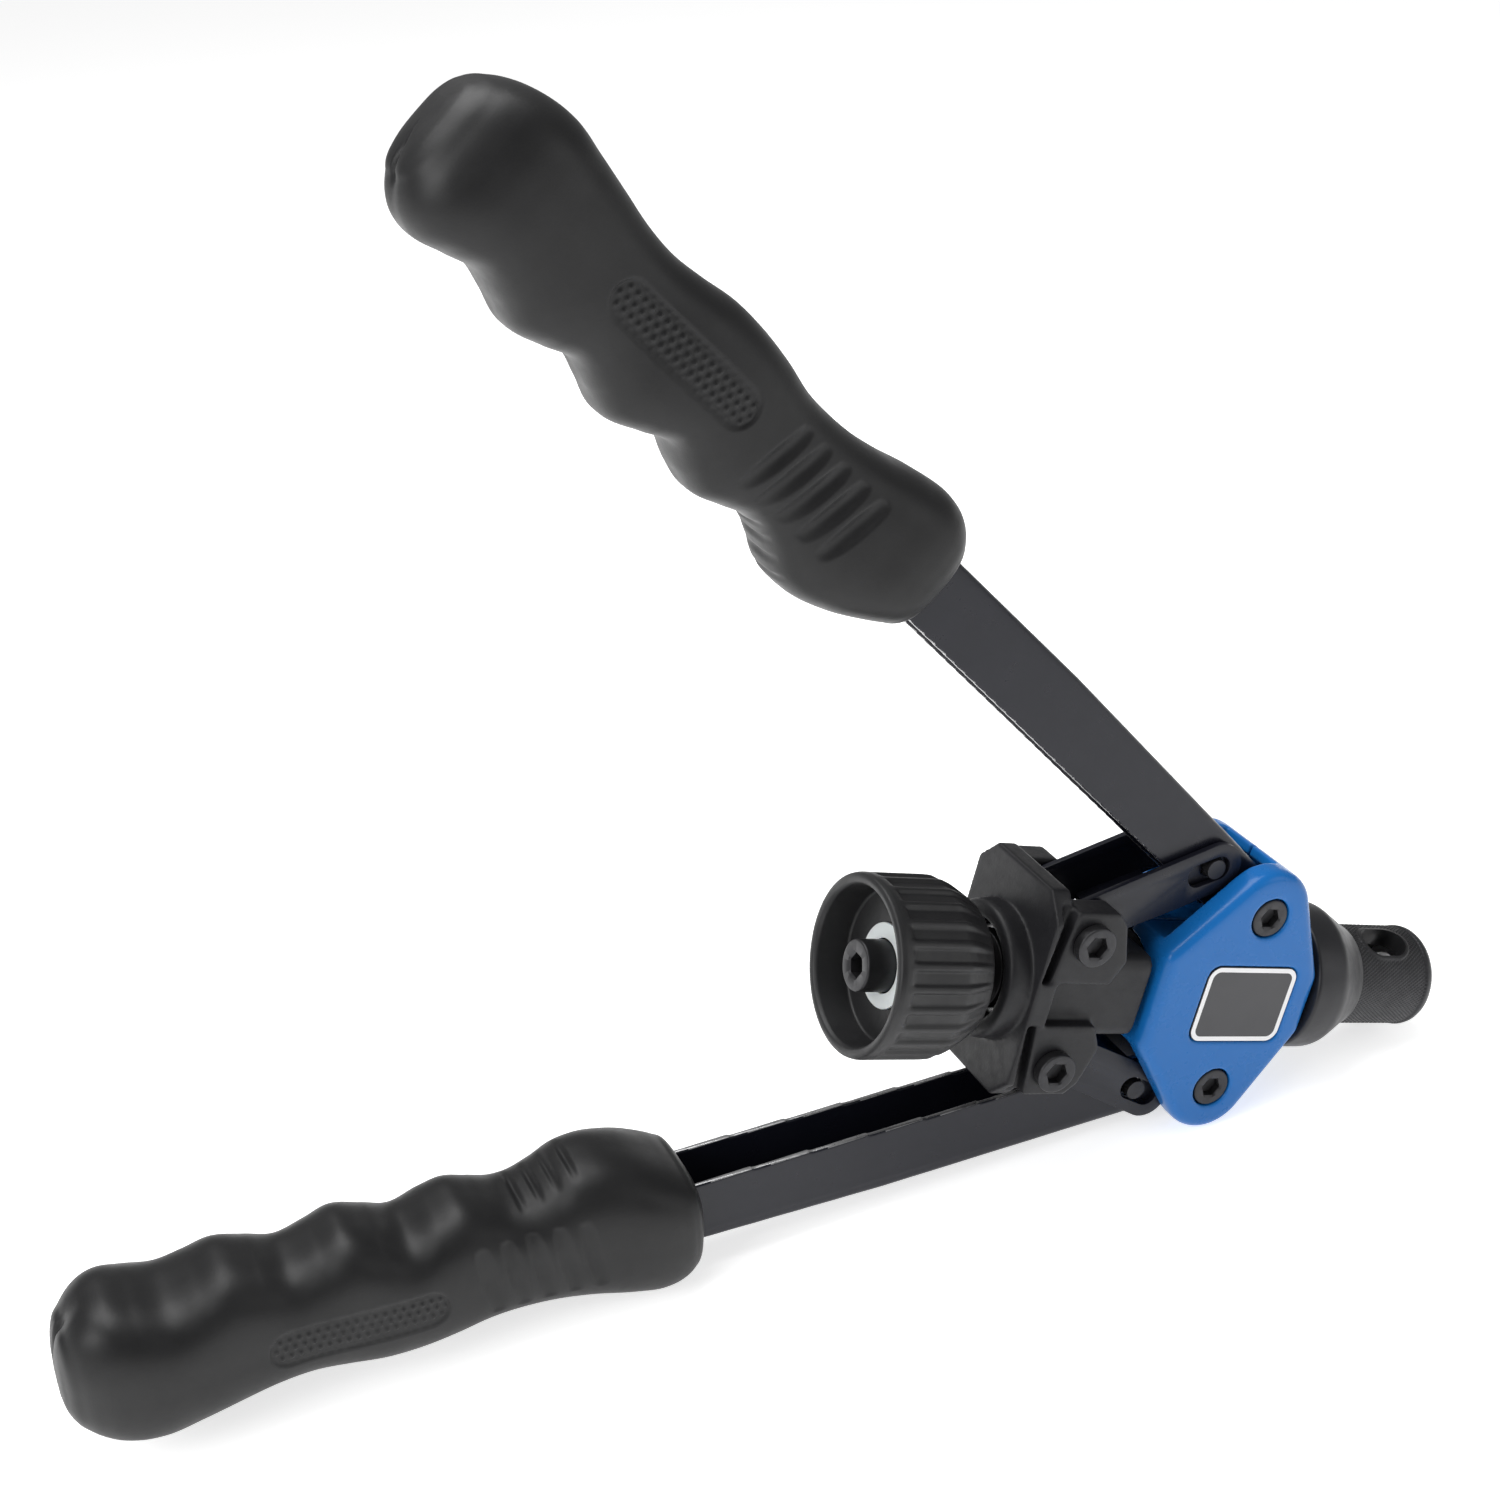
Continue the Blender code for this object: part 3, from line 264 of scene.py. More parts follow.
badge_dark = finish("badge_dark", (0.022, 0.022, 0.025), (0.034, 0.034, 0.038), (0.30, 0.42),
                    cloud=60.0, grain=1800.0, relief=0.006)
badge_white = finish("badge_white", (0.72, 0.72, 0.73), (0.80, 0.80, 0.80), (0.32, 0.44),
                     cloud=60.0, grain=1800.0, relief=0.006)
pale_floor = finish("pale_floor", (0.86, 0.86, 0.86), (0.90, 0.90, 0.90), (0.75, 0.9),
                    cloud=1.5, grain=120.0, relief=0.01,
                    Emission_Color=(1.0, 1.0, 1.0, 1.0), Emission_Strength=0.66)
floor.data.materials.append(pale_floor)
print(len(bpy.data.materials), "materials")

# %% [markdown]
# ## Surfaces from grids
# Nearly every new piece is a grid of points that closes on itself like a tube. The first helper
# joins the grid's neighbours into four-sided faces, and the second welds the seam and the poles,
# turns the faces outwards and shades them.

# %% Grid to mesh


def grid_faces(rows, columns, wrap_rows=False):
    """The corner numbers of each face: a point, its right neighbour, and the two in the next row."""
    r, c = np.meshgrid(np.arange(rows if wrap_rows else rows - 1), np.arange(columns), indexing="ij")
    below, right = (r + 1) % rows, (c + 1) % columns
    corners = [r * columns + c, r * columns + right, below * columns + right, below * columns + c]
    return np.stack(corners, axis=-1).reshape(-1, 4)


def piece_from(name, points, faces, material, sharp=38.0):
    """A finished mesh object: welded, facing out, and smooth except over edges sharper than sharp."""
    mesh = bpy.data.meshes.new(name)
    mesh.from_pydata(np.asarray(points).reshape(-1, 3).tolist(), [], faces.tolist())
    bm = bmesh.new()
    bm.from_mesh(mesh)
    bmesh.ops.remove_doubles(bm, verts=bm.verts, dist=0.002 * MM)
    bmesh.ops.recalc_face_normals(bm, faces=bm.faces)
    bm.to_mesh(mesh)
    bm.free()
    mesh.shade_smooth()
    mesh.set_sharp_from_angle(angle=math.radians(sharp))
    mesh.materials.append(material)
    piece = bpy.data.objects.new(name, mesh)
    bpy.context.scene.collection.objects.link(piece)
    return piece


def settle(piece, body, slot, *nodes):
    """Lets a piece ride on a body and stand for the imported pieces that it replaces."""
    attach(piece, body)
    if nodes:
        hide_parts(*nodes)
    print(piece.name, len(piece.data.polygons), "faces on", body)
    return piece


# %% [markdown]
# ## Turned pieces
# Collars, bolts, washers and the spindle are turned on a lathe, so each is an outline carried once
# round an axis. A lathe leaves small rounded corners that catch the light, so every corner of the
# outline is first replaced with a short curve.

# %% Round the corners of an outline


def rounded(outline, closed, steps=4):
    """Each corner (along, radius, rounding, mark) becomes a curve from a point before it to one after
    it: start * (1 - t)^2 + corner * 2 t (1 - t) + end * t^2."""
    rows = []
    t = np.linspace(0, 1, steps + 1)[:, None]
    count = len(outline)
    for i, (along, radius, rounding, mark) in enumerate(outline):
        corner = np.array([along, radius], float)
        if rounding == 0 or (not closed and i in (0, count - 1)):
            rows.append([[along, radius, mark]])
            continue
        before = np.array(outline[i - 1][:2], float) - corner
        after = np.array(outline[(i + 1) % count][:2], float) - corner
        start = corner + before / np.linalg.norm(before) * rounding
        end = corner + after / np.linalg.norm(after) * rounding
        curve = start * (1 - t) ** 2 + corner * 2 * t * (1 - t) + end * t**2
        rows.append(np.column_stack([curve, np.full(steps + 1, mark)]))
    return np.concatenate(rows)


def turned(name, outline, material, closed=False, columns=96, reshape=None, axis="X", at=(0, 0, 0),
           sharp=38.0):
    """The outline carried round an axis: across = radius * cos(angle), up = radius * sin(angle)."""
    rows = rounded(outline, closed)
    angle = np.linspace(0, 2 * np.pi, columns, endpoint=False)[None, :]
    along, radius, mark = (np.broadcast_to(rows[:, i : i + 1], (len(rows), columns)) for i in range(3))
    if reshape is not None:
        radius = reshape(along, radius, mark, angle)
    flat = [radius * np.cos(angle), radius * np.sin(angle)]
    if axis == "X":
        points = in_tool(np.stack([along, *flat], axis=-1) + np.array(at))
    else:
        points = in_tool(np.stack([flat[0], along, flat[1]], axis=-1) + np.array(at))
    return piece_from(name, points, grid_faces(len(rows), columns, closed), material, sharp)


print("lathe ready")

# %% [markdown]
# ### Socket-head bolts and nuts
# Each bolt has a round head with a hexagonal socket for its key. The socket is part of the same
# turned surface: where an outline corner is marked 1, its circle is drawn as a hexagon instead.
# The pivot bolts sit sunk in the covers, and the yoke bolts stand proud as rings.

# %% Draw a circle as a hexagon


def hexagonal(along, radius, mark, angle):
    """radius * ((1 - mark) + mark * apothem / cos(angle from the middle of the nearest side))."""
    from_side = np.mod(angle, np.pi / 3) - np.pi / 6
    return radius * (1 - mark + mark * math.cos(math.pi / 6) / np.cos(from_side))


def bolt(name, body, slot, at, top, head_radius, head_height, shank_radius, end, socket, depth,
         replaced):
    """A bolt along the width with its head on the near side, its top at -top and its end at end."""
    outline = [
        (end, 0, 0, 0), (end, shank_radius, 0.4, 0), (-top + head_height, shank_radius, 0.2, 0),
        (-top + head_height, head_radius, 0.3, 0), (-top, head_radius, 0.55, 0),
        (-top, socket * 1.12, 0.0, 0), (-top + 0.35, socket, 0.0, 1), (-top + depth, socket, 0.0, 1),
        (-top + depth + 0.5, 0, 0, 0),
    ]
    made = turned(name, outline, black_oxide, reshape=hexagonal, axis="Y", at=at, sharp=30)
    return settle(made, body, slot, replaced)


# %% Bolts and nuts of the pivots and the yoke
YOKE_BOLT = (-51.1, 16.6)
for side, sign in (("upper", 1), ("lower", -1)):
    pivot = (0, 0, sign * pivot_height)
    bolt(f"{side}_pivot_screw", "head", "black_oxide", pivot, 16.8, 4.9, 3.6, 3.2, 15.8, 2.7, 2.2,
         f"{side}_pivot_bolt")
    nut = [(13.2, 3.5, 0.2, 0), (13.2, 4.9, 0.3, 0), (16.8, 4.9, 0.6, 0), (16.8, 3.5, 0.3, 0)]
    sleeve_nut = turned(f"{side}_pivot_sleeve_nut", nut, black_oxide, closed=True, axis="Y", at=pivot)
    settle(sleeve_nut, "head", "black_oxide", f"{side}_pivot_nut")
    seat = (YOKE_BOLT[0], 0, sign * YOKE_BOLT[1])
    bolt(f"{side}_yoke_screw", "crosshead", "black_oxide", seat, 21.1, 5.0, 2.6, 2.6, 20.1, 2.9, 2.4,
         f"{side}_yoke_bolt")
    nut = [(18.5, 2.9, 0.2, 0), (18.5, 5.0, 0.3, 0), (21.1, 5.0, 0.7, 0), (21.1, 2.9, 0.5, 0)]
    ring_nut = turned(f"{side}_yoke_ring_nut", nut, black_oxide, closed=True, axis="Y", at=seat)
    settle(ring_nut, "crosshead", "black_oxide", f"{side}_yoke_nut")

# %% [markdown]
# ### Nose collar, anvil and spindle
# The collar behind the nose is a plain turned cone. The anvil is a steel ring whose bore has fine
# grooves like a thread, made by letting the radius rise and fall along the bore.

# %% Collar and anvil
collar = turned("nose_cone", [
    (21.8, 11.3, 0.3, 0), (21.8, 18.7, 1.0, 0), (30.8, 18.7, 1.4, 0), (39.4, 13.9, 0.8, 0),
    (41.0, 13.3, 0.6, 0), (41.0, 10.2, 0.3, 0), (24.8, 10.2, 0.2, 0), (24.8, 11.3, 0.2, 0),
], turned_black, closed=True, columns=128)
settle(collar, "head", "black_paint", "nose_collar")
ridges = [(x, 5.6 + 0.22 * (i % 2), 0.0, 0) for i, x in enumerate(np.arange(60.2, 65.4, 0.4))]
anvil = turned("anvil_ring", ridges + [
    (65.5, 5.9, 0.0, 0), (66.0, 6.3, 0.15, 0), (66.0, 7.7, 0.3, 0), (59.5, 7.7, 0.3, 0), (59.5, 5.6, 0.3, 0),
], bright_steel, closed=True)
settle(anvil, "nose", "bright_steel", "anvil")

# %% Spindle with its thrust flange, washers and coupling
spindle = turned("spindle_rod", [
    (37.0, 0, 0, 0), (37.0, 3.2, 0.4, 0), (30.0, 3.2, 0.2, 0), (30.0, 6.1, 0.5, 0), (-62.9, 6.1, 0.2, 0),
    (-62.9, 9.5, 0.4, 0), (-66.1, 9.5, 0.4, 0), (-66.1, 6.1, 0.2, 0), (-99.8, 6.1, 0.6, 0),
    (-99.8, 3.4, 0.0, 0), (-99.4, 2.97, 0.0, 1), (-93.8, 2.97, 0.0, 1), (-93.2, 0, 0, 0),
], black_oxide, reshape=hexagonal, sharp=30)
settle(spindle, "puller", "black_oxide", "spindle")
thrust = turned("thrust_ring", [
    (-62.6, 6.4, 0.1, 0), (-62.6, 10.6, 0.2, 0), (-61.8, 10.6, 0.2, 0), (-61.8, 6.4, 0.1, 0),
], bright_steel, closed=True)
settle(thrust, "puller", "bright_steel", "thrust_washer")
coupling = turned("mandrel_seat", [
    (30.3, 3.5, 0.2, 0), (30.3, 7.2, 0.4, 0), (44.3, 7.2, 0.8, 0), (44.3, 3.5, 0.6, 0),
], bright_steel, closed=True)
settle(coupling, "puller", "bright_steel", "mandrel_coupling")
nylon = turned("nylon_disc", [
    (-92.5, 6.4, 0.1, 0), (-92.5, 10.0, 0.2, 0), (-91.7, 10.0, 0.2, 0), (-91.7, 6.4, 0.1, 0),
], white_nylon, closed=True)
settle(nylon, "puller", "white_nylon", "knob_washer")

# %% [markdown]
# ### The fluted knob
# The knob is a plastic cup. Round grooves run along its outside for grip. The cup is turned as one
# outline whose outer corners are marked 1, and only marked rows are cut by the flutes, so the inside
# stays round. Each flute is a bell-shaped groove repeated round the circle.

# %% Knob
FLUTES = 26
FLUTE_DEPTH = 0.95


def fluted(along, radius, mark, angle):
    """radius - depth * mark * trough, where the trough is flat over most of a flute's width and rises
    to nothing at the narrow ridge on each side."""
    pitch = 2 * np.pi / FLUTES
    offset = np.abs(np.mod(angle, pitch) - pitch / 2) / (pitch / 2)
    trough = np.clip((0.86 - offset) / 0.4, 0, 1)
    return radius - FLUTE_DEPTH * mark * trough**2 * (3 - 2 * trough)


flute_rows = [(x, 21.5, 0.0, 1.0) for x in (-95.6, -92.0, -88.0, -84.0)]
knob_outline = [
    (-91.4, 6.4, 0.2, 0), (-91.4, 18.1, 0.8, 0), (-99.4, 18.6, 0.4, 0), (-100.2, 19.2, 0.3, 0),
    (-100.4, 20.2, 0.4, 0), (-100.0, 21.2, 0.4, 0), (-98.8, 21.5, 0.3, 0), (-97.6, 21.5, 0.0, 0),
    (-96.9, 21.5, 0.0, 0.25), (-96.3, 21.5, 0.0, 0.75), *flute_rows, (-81.6, 21.4, 0.6, 1),
    (-79.0, 20.4, 0.8, 0.9), (-75.4, 18.4, 0.4, 0.5), (-73.0, 17.0, 0.5, 0.15), (-72.0, 15.5, 0.5, 0),
    (-72.0, 6.4, 0.2, 0),
]
knob = turned("fluted_knob", knob_outline, knob_plastic, closed=True, columns=FLUTES * 16,
              reshape=fluted, sharp=50)
settle(knob, "puller", "knob_plastic", "knob")

# %% [markdown]
# ### The knurled nose sleeve
# The sleeve is rolled with a diamond knurl so that fingers can turn it. Two families of ridges cross
# at a slant, and their product makes small pyramids. The knurl fades out near the windows, which are
# then cut through with a Boolean, because a through hole can't be drawn on a closed grid.

# %% Sleeve surface
# Start, end, half width, and the turn about the spindle.
WINDOW = (44.5, 58.0, 4.5, math.radians(20))
KNURLS = 84
SLEEVE_RADIUS = 12.9
KNURL_SINK = 0.12
KNURL_DEPTH = 0.26


def knurled_sleeve():
    """Outer radius = radius - fade * (sink + depth * (1 - ridge * ridge')), where the ridges are raised
    cosines of angle + slope * along and angle - slope * along, and fade is 0 at the front end and near
    the windows."""
    columns = KNURLS * 6
    angle = np.linspace(0, 2 * np.pi, columns, endpoint=False)[None, :]
    along = np.arange(41.6, 63.4, 0.19)[:, None]
    slope = 1.0 / SLEEVE_RADIUS
    first = 0.5 + 0.5 * np.cos(KNURLS * (angle + slope * along * 0.7))
    second = 0.5 + 0.5 * np.cos(KNURLS * (angle - slope * along * 0.7))
    around = np.abs(SLEEVE_RADIUS * np.sin(angle - math.pi / 2 - WINDOW[3]))
    middle, reach = (WINDOW[0] + WINDOW[1]) / 2, (WINDOW[1] - WINDOW[0]) / 2 - WINDOW[2]
    from_window = np.hypot(np.maximum(np.abs(along - middle) - reach, 0), around) - WINDOW[2]
    fade = np.clip((from_window - 0.7) / 0.6, 0, 1) * np.clip((63.0 - along) / 0.4, 0, 1)
    outer = SLEEVE_RADIUS - KNURL_SINK * fade - KNURL_DEPTH * fade * (1 - first * second)
    rows = [(63.5, SLEEVE_RADIUS), (64.2, 12.75), (65.0, 12.3), (65.6, 11.6), (65.95, 10.8),
            (66.0, 10.2), (66.0, 8.3), (65.8, 8.0), (60.0, 8.0), (50.0, 8.0), (40.0, 8.0),
            (32.6, 8.0), (32.3, 8.3), (32.3, 9.6), (32.6, 9.9), (41.2, 9.9), (41.3, 10.1), (41.3, 12.2), (41.45, 12.6)]
    plain = np.array(rows)[:, :, None] * np.ones(columns)
    x = np.concatenate([np.broadcast_to(along, outer.shape), plain[:, 0]])
    r = np.concatenate([outer, plain[:, 1]])
    points = in_tool(np.stack([x, r * np.cos(angle), r * np.sin(angle)], axis=-1))
    return piece_from("knurled_sleeve", points, grid_faces(len(x), columns, True), black_oxide, 60)


sleeve = knurled_sleeve()
print("sleeve has", len(sleeve.data.polygons), "faces before its windows")

# %% Cut the windows


def stadium(start, end, half_width, count=48):
    """A slot outline: a half circle round each end of a line from start to end."""
    turn = np.linspace(0, 2 * np.pi, count, endpoint=False)
    shift = np.where(np.cos(turn) > 0, end - half_width, start + half_width)
    return np.column_stack([shift + half_width * np.cos(turn), half_width * np.sin(turn)])


def cut_windows(piece):
    """Sweeps the slot outline through the sleeve and takes it away."""
    outline = stadium(*WINDOW[:3])
    depth = np.array([-20.0, 20.0])[:, None]
    x, side = outline[:, 0][None, :], outline[:, 1][None, :]
    c, s = math.cos(WINDOW[3]), math.sin(WINDOW[3])
    points = np.stack([x + 0 * depth, side * c - depth * s, side * s + depth * c], axis=-1)
    count = len(outline)
    mesh = bpy.data.meshes.new("window_cutter")
    caps = [list(range(count)), list(range(2 * count - 1, count - 1, -1))]
    mesh.from_pydata(in_tool(points).reshape(-1, 3).tolist(), [], grid_faces(2, count).tolist() + caps)
    bm = bmesh.new()
    bm.from_mesh(mesh)
    bmesh.ops.recalc_face_normals(bm, faces=bm.faces)
    bm.to_mesh(mesh)
    bm.free()
    tool = bpy.data.objects.new("window_cutter", mesh)
    bpy.context.scene.collection.objects.link(tool)
    cut = piece.modifiers.new("windows", "BOOLEAN")
    cut.object = tool
    cut.solver = "EXACT"
    apply_modifiers(piece)
    bpy.data.objects.remove(tool, do_unlink=True)


def apply_modifiers(piece):
    """Puts the result of a piece's modifiers into its mesh, with many-sided faces cut into triangles
    and slivers without any area taken out."""
    bpy.context.view_layer.update()
    graph = bpy.context.evaluated_depsgraph_get()
    result = bpy.data.meshes.new_from_object(piece.evaluated_get(graph))
    piece.modifiers.clear()
    old, piece.data = piece.data, result
    bpy.data.meshes.remove(old)
    bm = bmesh.new()
    bm.from_mesh(result)
    bmesh.ops.remove_doubles(bm, verts=bm.verts, dist=0.001 * MM)
    many_sided = [face for face in bm.faces if len(face.verts) > 4]
    bmesh.ops.triangulate(bm, faces=many_sided, ngon_method="BEAUTY")
    bmesh.ops.dissolve_degenerate(bm, edges=bm.edges, dist=0.001 * MM)
    bm.to_mesh(result)
    bm.free()


cut_windows(sleeve)
settle(sleeve, "nose", "black_oxide", "nose_sleeve")

# %% [markdown]
# ## The cast and pressed pieces
# The covers, yoke, arms and links have the right shape in the imported model, but every edge is
# knife-sharp. A copy of each link is merged into whole faces and given a small bevel, as tumbling
# and paint give the real piece. The arms, yoke and covers are rebuilt out of small cubes and then
# smoothed, which rounds every edge in one go and can't leave a gap. The rims of an arm's side walls
# take a brighter finish, partly bare metal rubbed through the paint and partly a painted highlight along the edges.

# %% Refine a imported piece


def refined(name, node, material, width, sharp=32.0, segments=2):
    """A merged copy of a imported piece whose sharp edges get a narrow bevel."""
    mesh = frame["nodes"][node].data.copy()
    mesh.name = name
    bm = bmesh.new()
    bm.from_mesh(mesh)
    bmesh.ops.remove_doubles(bm, verts=bm.verts, dist=0.002 * MM)
    bmesh.ops.dissolve_limit(bm, angle_limit=math.radians(0.6), verts=bm.verts, edges=bm.edges)
    bm.to_mesh(mesh)
    bm.free()
    mesh.materials.clear()
    mesh.materials.append(material)
    piece = bpy.data.objects.new(name, mesh)
    bpy.context.scene.collection.objects.link(piece)
    if width:
        bevel = piece.modifiers.new("edges", "BEVEL")
        bevel.width = width * MM
        bevel.segments = segments
        bevel.limit_method = "ANGLE"
        bevel.angle_limit = math.radians(sharp)
        bevel.use_clamp_overlap = True
        apply_modifiers(piece)
    piece.data.shade_smooth()
    piece.data.set_sharp_from_angle(angle=math.radians(sharp))
    return piece


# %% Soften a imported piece


def softened(name, node, material, voxel, passes, extra=None):
    """A copy rebuilt from cubes of the given size, each point then moved towards its neighbours."""
    piece = refined(name, node, material, 0)
    if extra is not None:
        bm = bmesh.new()
        bm.from_mesh(piece.data)
        bm.from_mesh(extra.data)
        bm.to_mesh(piece.data)
        bm.free()
        bpy.data.objects.remove(extra, do_unlink=True)
    cubes = piece.modifiers.new("cubes", "REMESH")
    cubes.mode = "VOXEL"
    cubes.voxel_size = voxel * MM
    soften = piece.modifiers.new("soften", "SMOOTH")
    soften.factor = 0.5
    soften.iterations = passes
    apply_modifiers(piece)
    piece.data.shade_smooth()
    return piece


# %% Wear and a painted highlight on the rims of the arms' walls


WALL_INSIDE = 5.9


def wear_and_highlight_rims(piece, side):
    """Gives the brighter rim finish, partly bare-metal wear and partly a painted highlight, to faces that look at the
    other arm from the edge of a side wall.
    """
    faces = piece.data.polygons
    count = len(faces)
    centre, normal = np.empty(count * 3), np.empty(count * 3)
    faces.foreach_get("center", centre)
    faces.foreach_get("normal", normal)
    sign = 1 if side == "upper" else -1
    c, s = math.cos(ARM_ANGLE[side]), math.sin(ARM_ANGLE[side])
    outwards = np.array([s, 0, sign * c]) @ tool_axes
    across = (centre.reshape(-1, 3) - head_centre) @ tool_axes[1] / MM
    rim = (normal.reshape(-1, 3) @ outwards < -0.8) & (np.abs(across) > WALL_INSIDE)
    # The rim faces take the brighter finish: bare-metal wear plus a painted highlight.
    piece.data.materials.append(worn_and_highlight_rim)
    faces.foreach_set("material_index", rim.astype(np.int32))
    print(side, "arm:", int(rim.sum()), "rim faces")


# %% Arms and links
for side in ("upper", "lower"):
    channel = softened(f"{side}_channel", f"{side}_arm", black_paint, 0.5, 4)
    wear_and_highlight_rims(channel, side)
    settle(channel, f"{side}_handle", "black_paint", f"{side}_arm")
    strut = refined(f"{side}_strut_channel", f"{side}_link", black_paint, 0.25)
    settle(strut, f"{side}_strut", "black_paint", f"{side}_link")

# %% [markdown]
# The yoke and the two covers are castings, so their edges are soft everywhere, even where two lumps
# meet, and smaller cubes with more passes give them a rounder skin than the arms. The yoke's collar
# gets a longer rim first, which the cubes join to it without a seam.

# %% Yoke and covers
collar_rim = turned("collar_rim", [
    (-68.0, 12.4, 0.6, 0), (-68.0, 16.4, 1.6, 0), (-62.5, 16.6, 0.4, 0), (-62.5, 12.3, 0.2, 0),
], cast_black, closed=True)
yoke = softened("yoke_casting", "yoke", cast_black, 0.42, 16, extra=collar_rim)
settle(yoke, "crosshead", "cast_black", "yoke")
for side in ("near", "far"):
    shell = softened(f"{side}_shell", f"{side}_cover", blue_enamel, 0.42, 9)
    settle(shell, "head", "blue_enamel", f"{side}_cover")

# %% [markdown]
# ## Moulded grips
# A grip is a soft box that swells and narrows along the arm. Its section is a superellipse: each
# coordinate of a circle is raised to a power below one, which pushes the corners out. The outer and
# inner reach and the half width follow smooth curves along the grip, and a cosine adds the finger
# scallops on the inner side. The fine details are then pressed in along the surface: five slanted
# pockets, ribs and a dotted panel.

# %% Size of the grip along its length
OUTER_REACH = np.array([
    (133.5, 10.4), (134.4, 13.2), (136, 15.2), (138.5, 16.9), (143, 17.9), (150, 16.9), (160, 14.3),
    (170, 12.5), (176, 12.1), (184, 12.3), (192, 13.9), (201, 14.9), (208, 14.9), (216, 13.6), (224, 12.7),
    (232, 13.2), (240, 14.7), (248, 16.2), (256, 17.5), (261, 17.0), (266, 15.4), (270, 13.0), (273, 10.2),
    (274.6, 7.2), (275.2, 4.6),
])
INNER_REACH = np.array([
    (133.5, 8.4), (134.6, 10.6), (137, 12.2), (141, 14.4), (148, 17.7), (157, 19.8), (162, 19.2),
    (167, 16.6), (173, 14.4), (176.5, 14.4), (182, 16.2), (188, 17.9), (193, 16.6), (200, 13.9),
    (206, 16.2), (213.5, 18.6), (219, 16.6), (226, 14.6), (232, 16.6), (239.5, 18.3), (245, 16.4),
    (251.5, 14.8), (258, 16.4), (264.5, 17.8),
    (268.5, 16.4), (272, 13.0), (274.6, 8.6), (275.2, 5.6),
])
HALF_WIDTH = np.array([
    (133.5, 12.2), (134.5, 14.2), (136.5, 15.7), (140, 16.7), (144, 17.0), (152, 16.3), (164, 14.9),
    (176, 14.3), (188, 14.6), (201, 15.1), (212, 14.8), (224, 14.2), (236, 14.9), (248, 16.2),
    (256, 16.7), (262, 16.3), (267, 14.8), (271, 12.2), (274, 8.6), (274.9, 6.2), (275.2, 4.4),
])


def smooth_curve(table, at):
    """A curve through the table's points, each stretch a cubic whose slopes match its neighbours."""
    x, y = table[:, 0], table[:, 1]
    slope = np.gradient(y, x)
    i = np.clip(np.searchsorted(x, at) - 1, 0, len(x) - 2)
    h = x[i + 1] - x[i]
    t = (at - x[i]) / h
    start = (1 + 2 * t) * (1 - t) ** 2 * y[i] + t * (1 - t) ** 2 * h * slope[i]
    return start + t**2 * (3 - 2 * t) * y[i + 1] + t**2 * (t - 1) * h * slope[i + 1]


print("grip widest at", float(HALF_WIDTH[np.argmax(HALF_WIDTH[:, 1]), 0]), "mm from the pivot")

# %% Details pressed into the grip


def bell(value, width):
    """1 at 0, falling smoothly to 0 at width and beyond: (1 - (value / width)^2)^2."""
    return np.clip(1 - (value / width) ** 2, 0, 1) ** 2


def pressed(at, across, out, flat_side, inner_side):
    """Depth below the plain surface in millimetres: pockets + panel - dots + hole + ribs."""
    depth = np.zeros_like(at)
    for i in range(5):
        centre = 160.6 + 5.9 * i - 0.16 * (out + 2)
        length = np.clip(1 - ((out + 2) / 8.6) ** 2, 0, 1) ** 0.4
        depth += 1.05 * bell(at - centre, 2.5 * (0.5 + 0.5 * length)) ** 0.7 * length * flat_side
    reach = 15.2
    from_panel = np.hypot(np.maximum(np.abs(at - 213.5) - reach, 0), out) - 4.4
    panel = np.clip(0.5 - from_panel / 0.5, 0, 1) * flat_side
    step = 2.05
    row = np.round(out / step)
    shift = 0.5 * np.mod(row, 2)
    column = np.round(at / step - shift) + shift
    dot = bell(np.hypot(at - column * step, out - row * step), 0.82) * (np.abs(out) < 3.9)
    inside = np.clip(-from_panel / 0.6 - 0.6, 0, 1)
    depth += 0.55 * panel - 0.5 * dot * inside * flat_side
    depth += 3.0 * bell(across, 1.9) * bell(at - 273.4, 2.4) * inner_side
    for i in range(4):
        depth += 0.7 * bell(at - 161.5 - 4.1 * i, 1.25) * bell(across, 8.5) ** 0.5 * inner_side
    return depth


# %% Grip surface


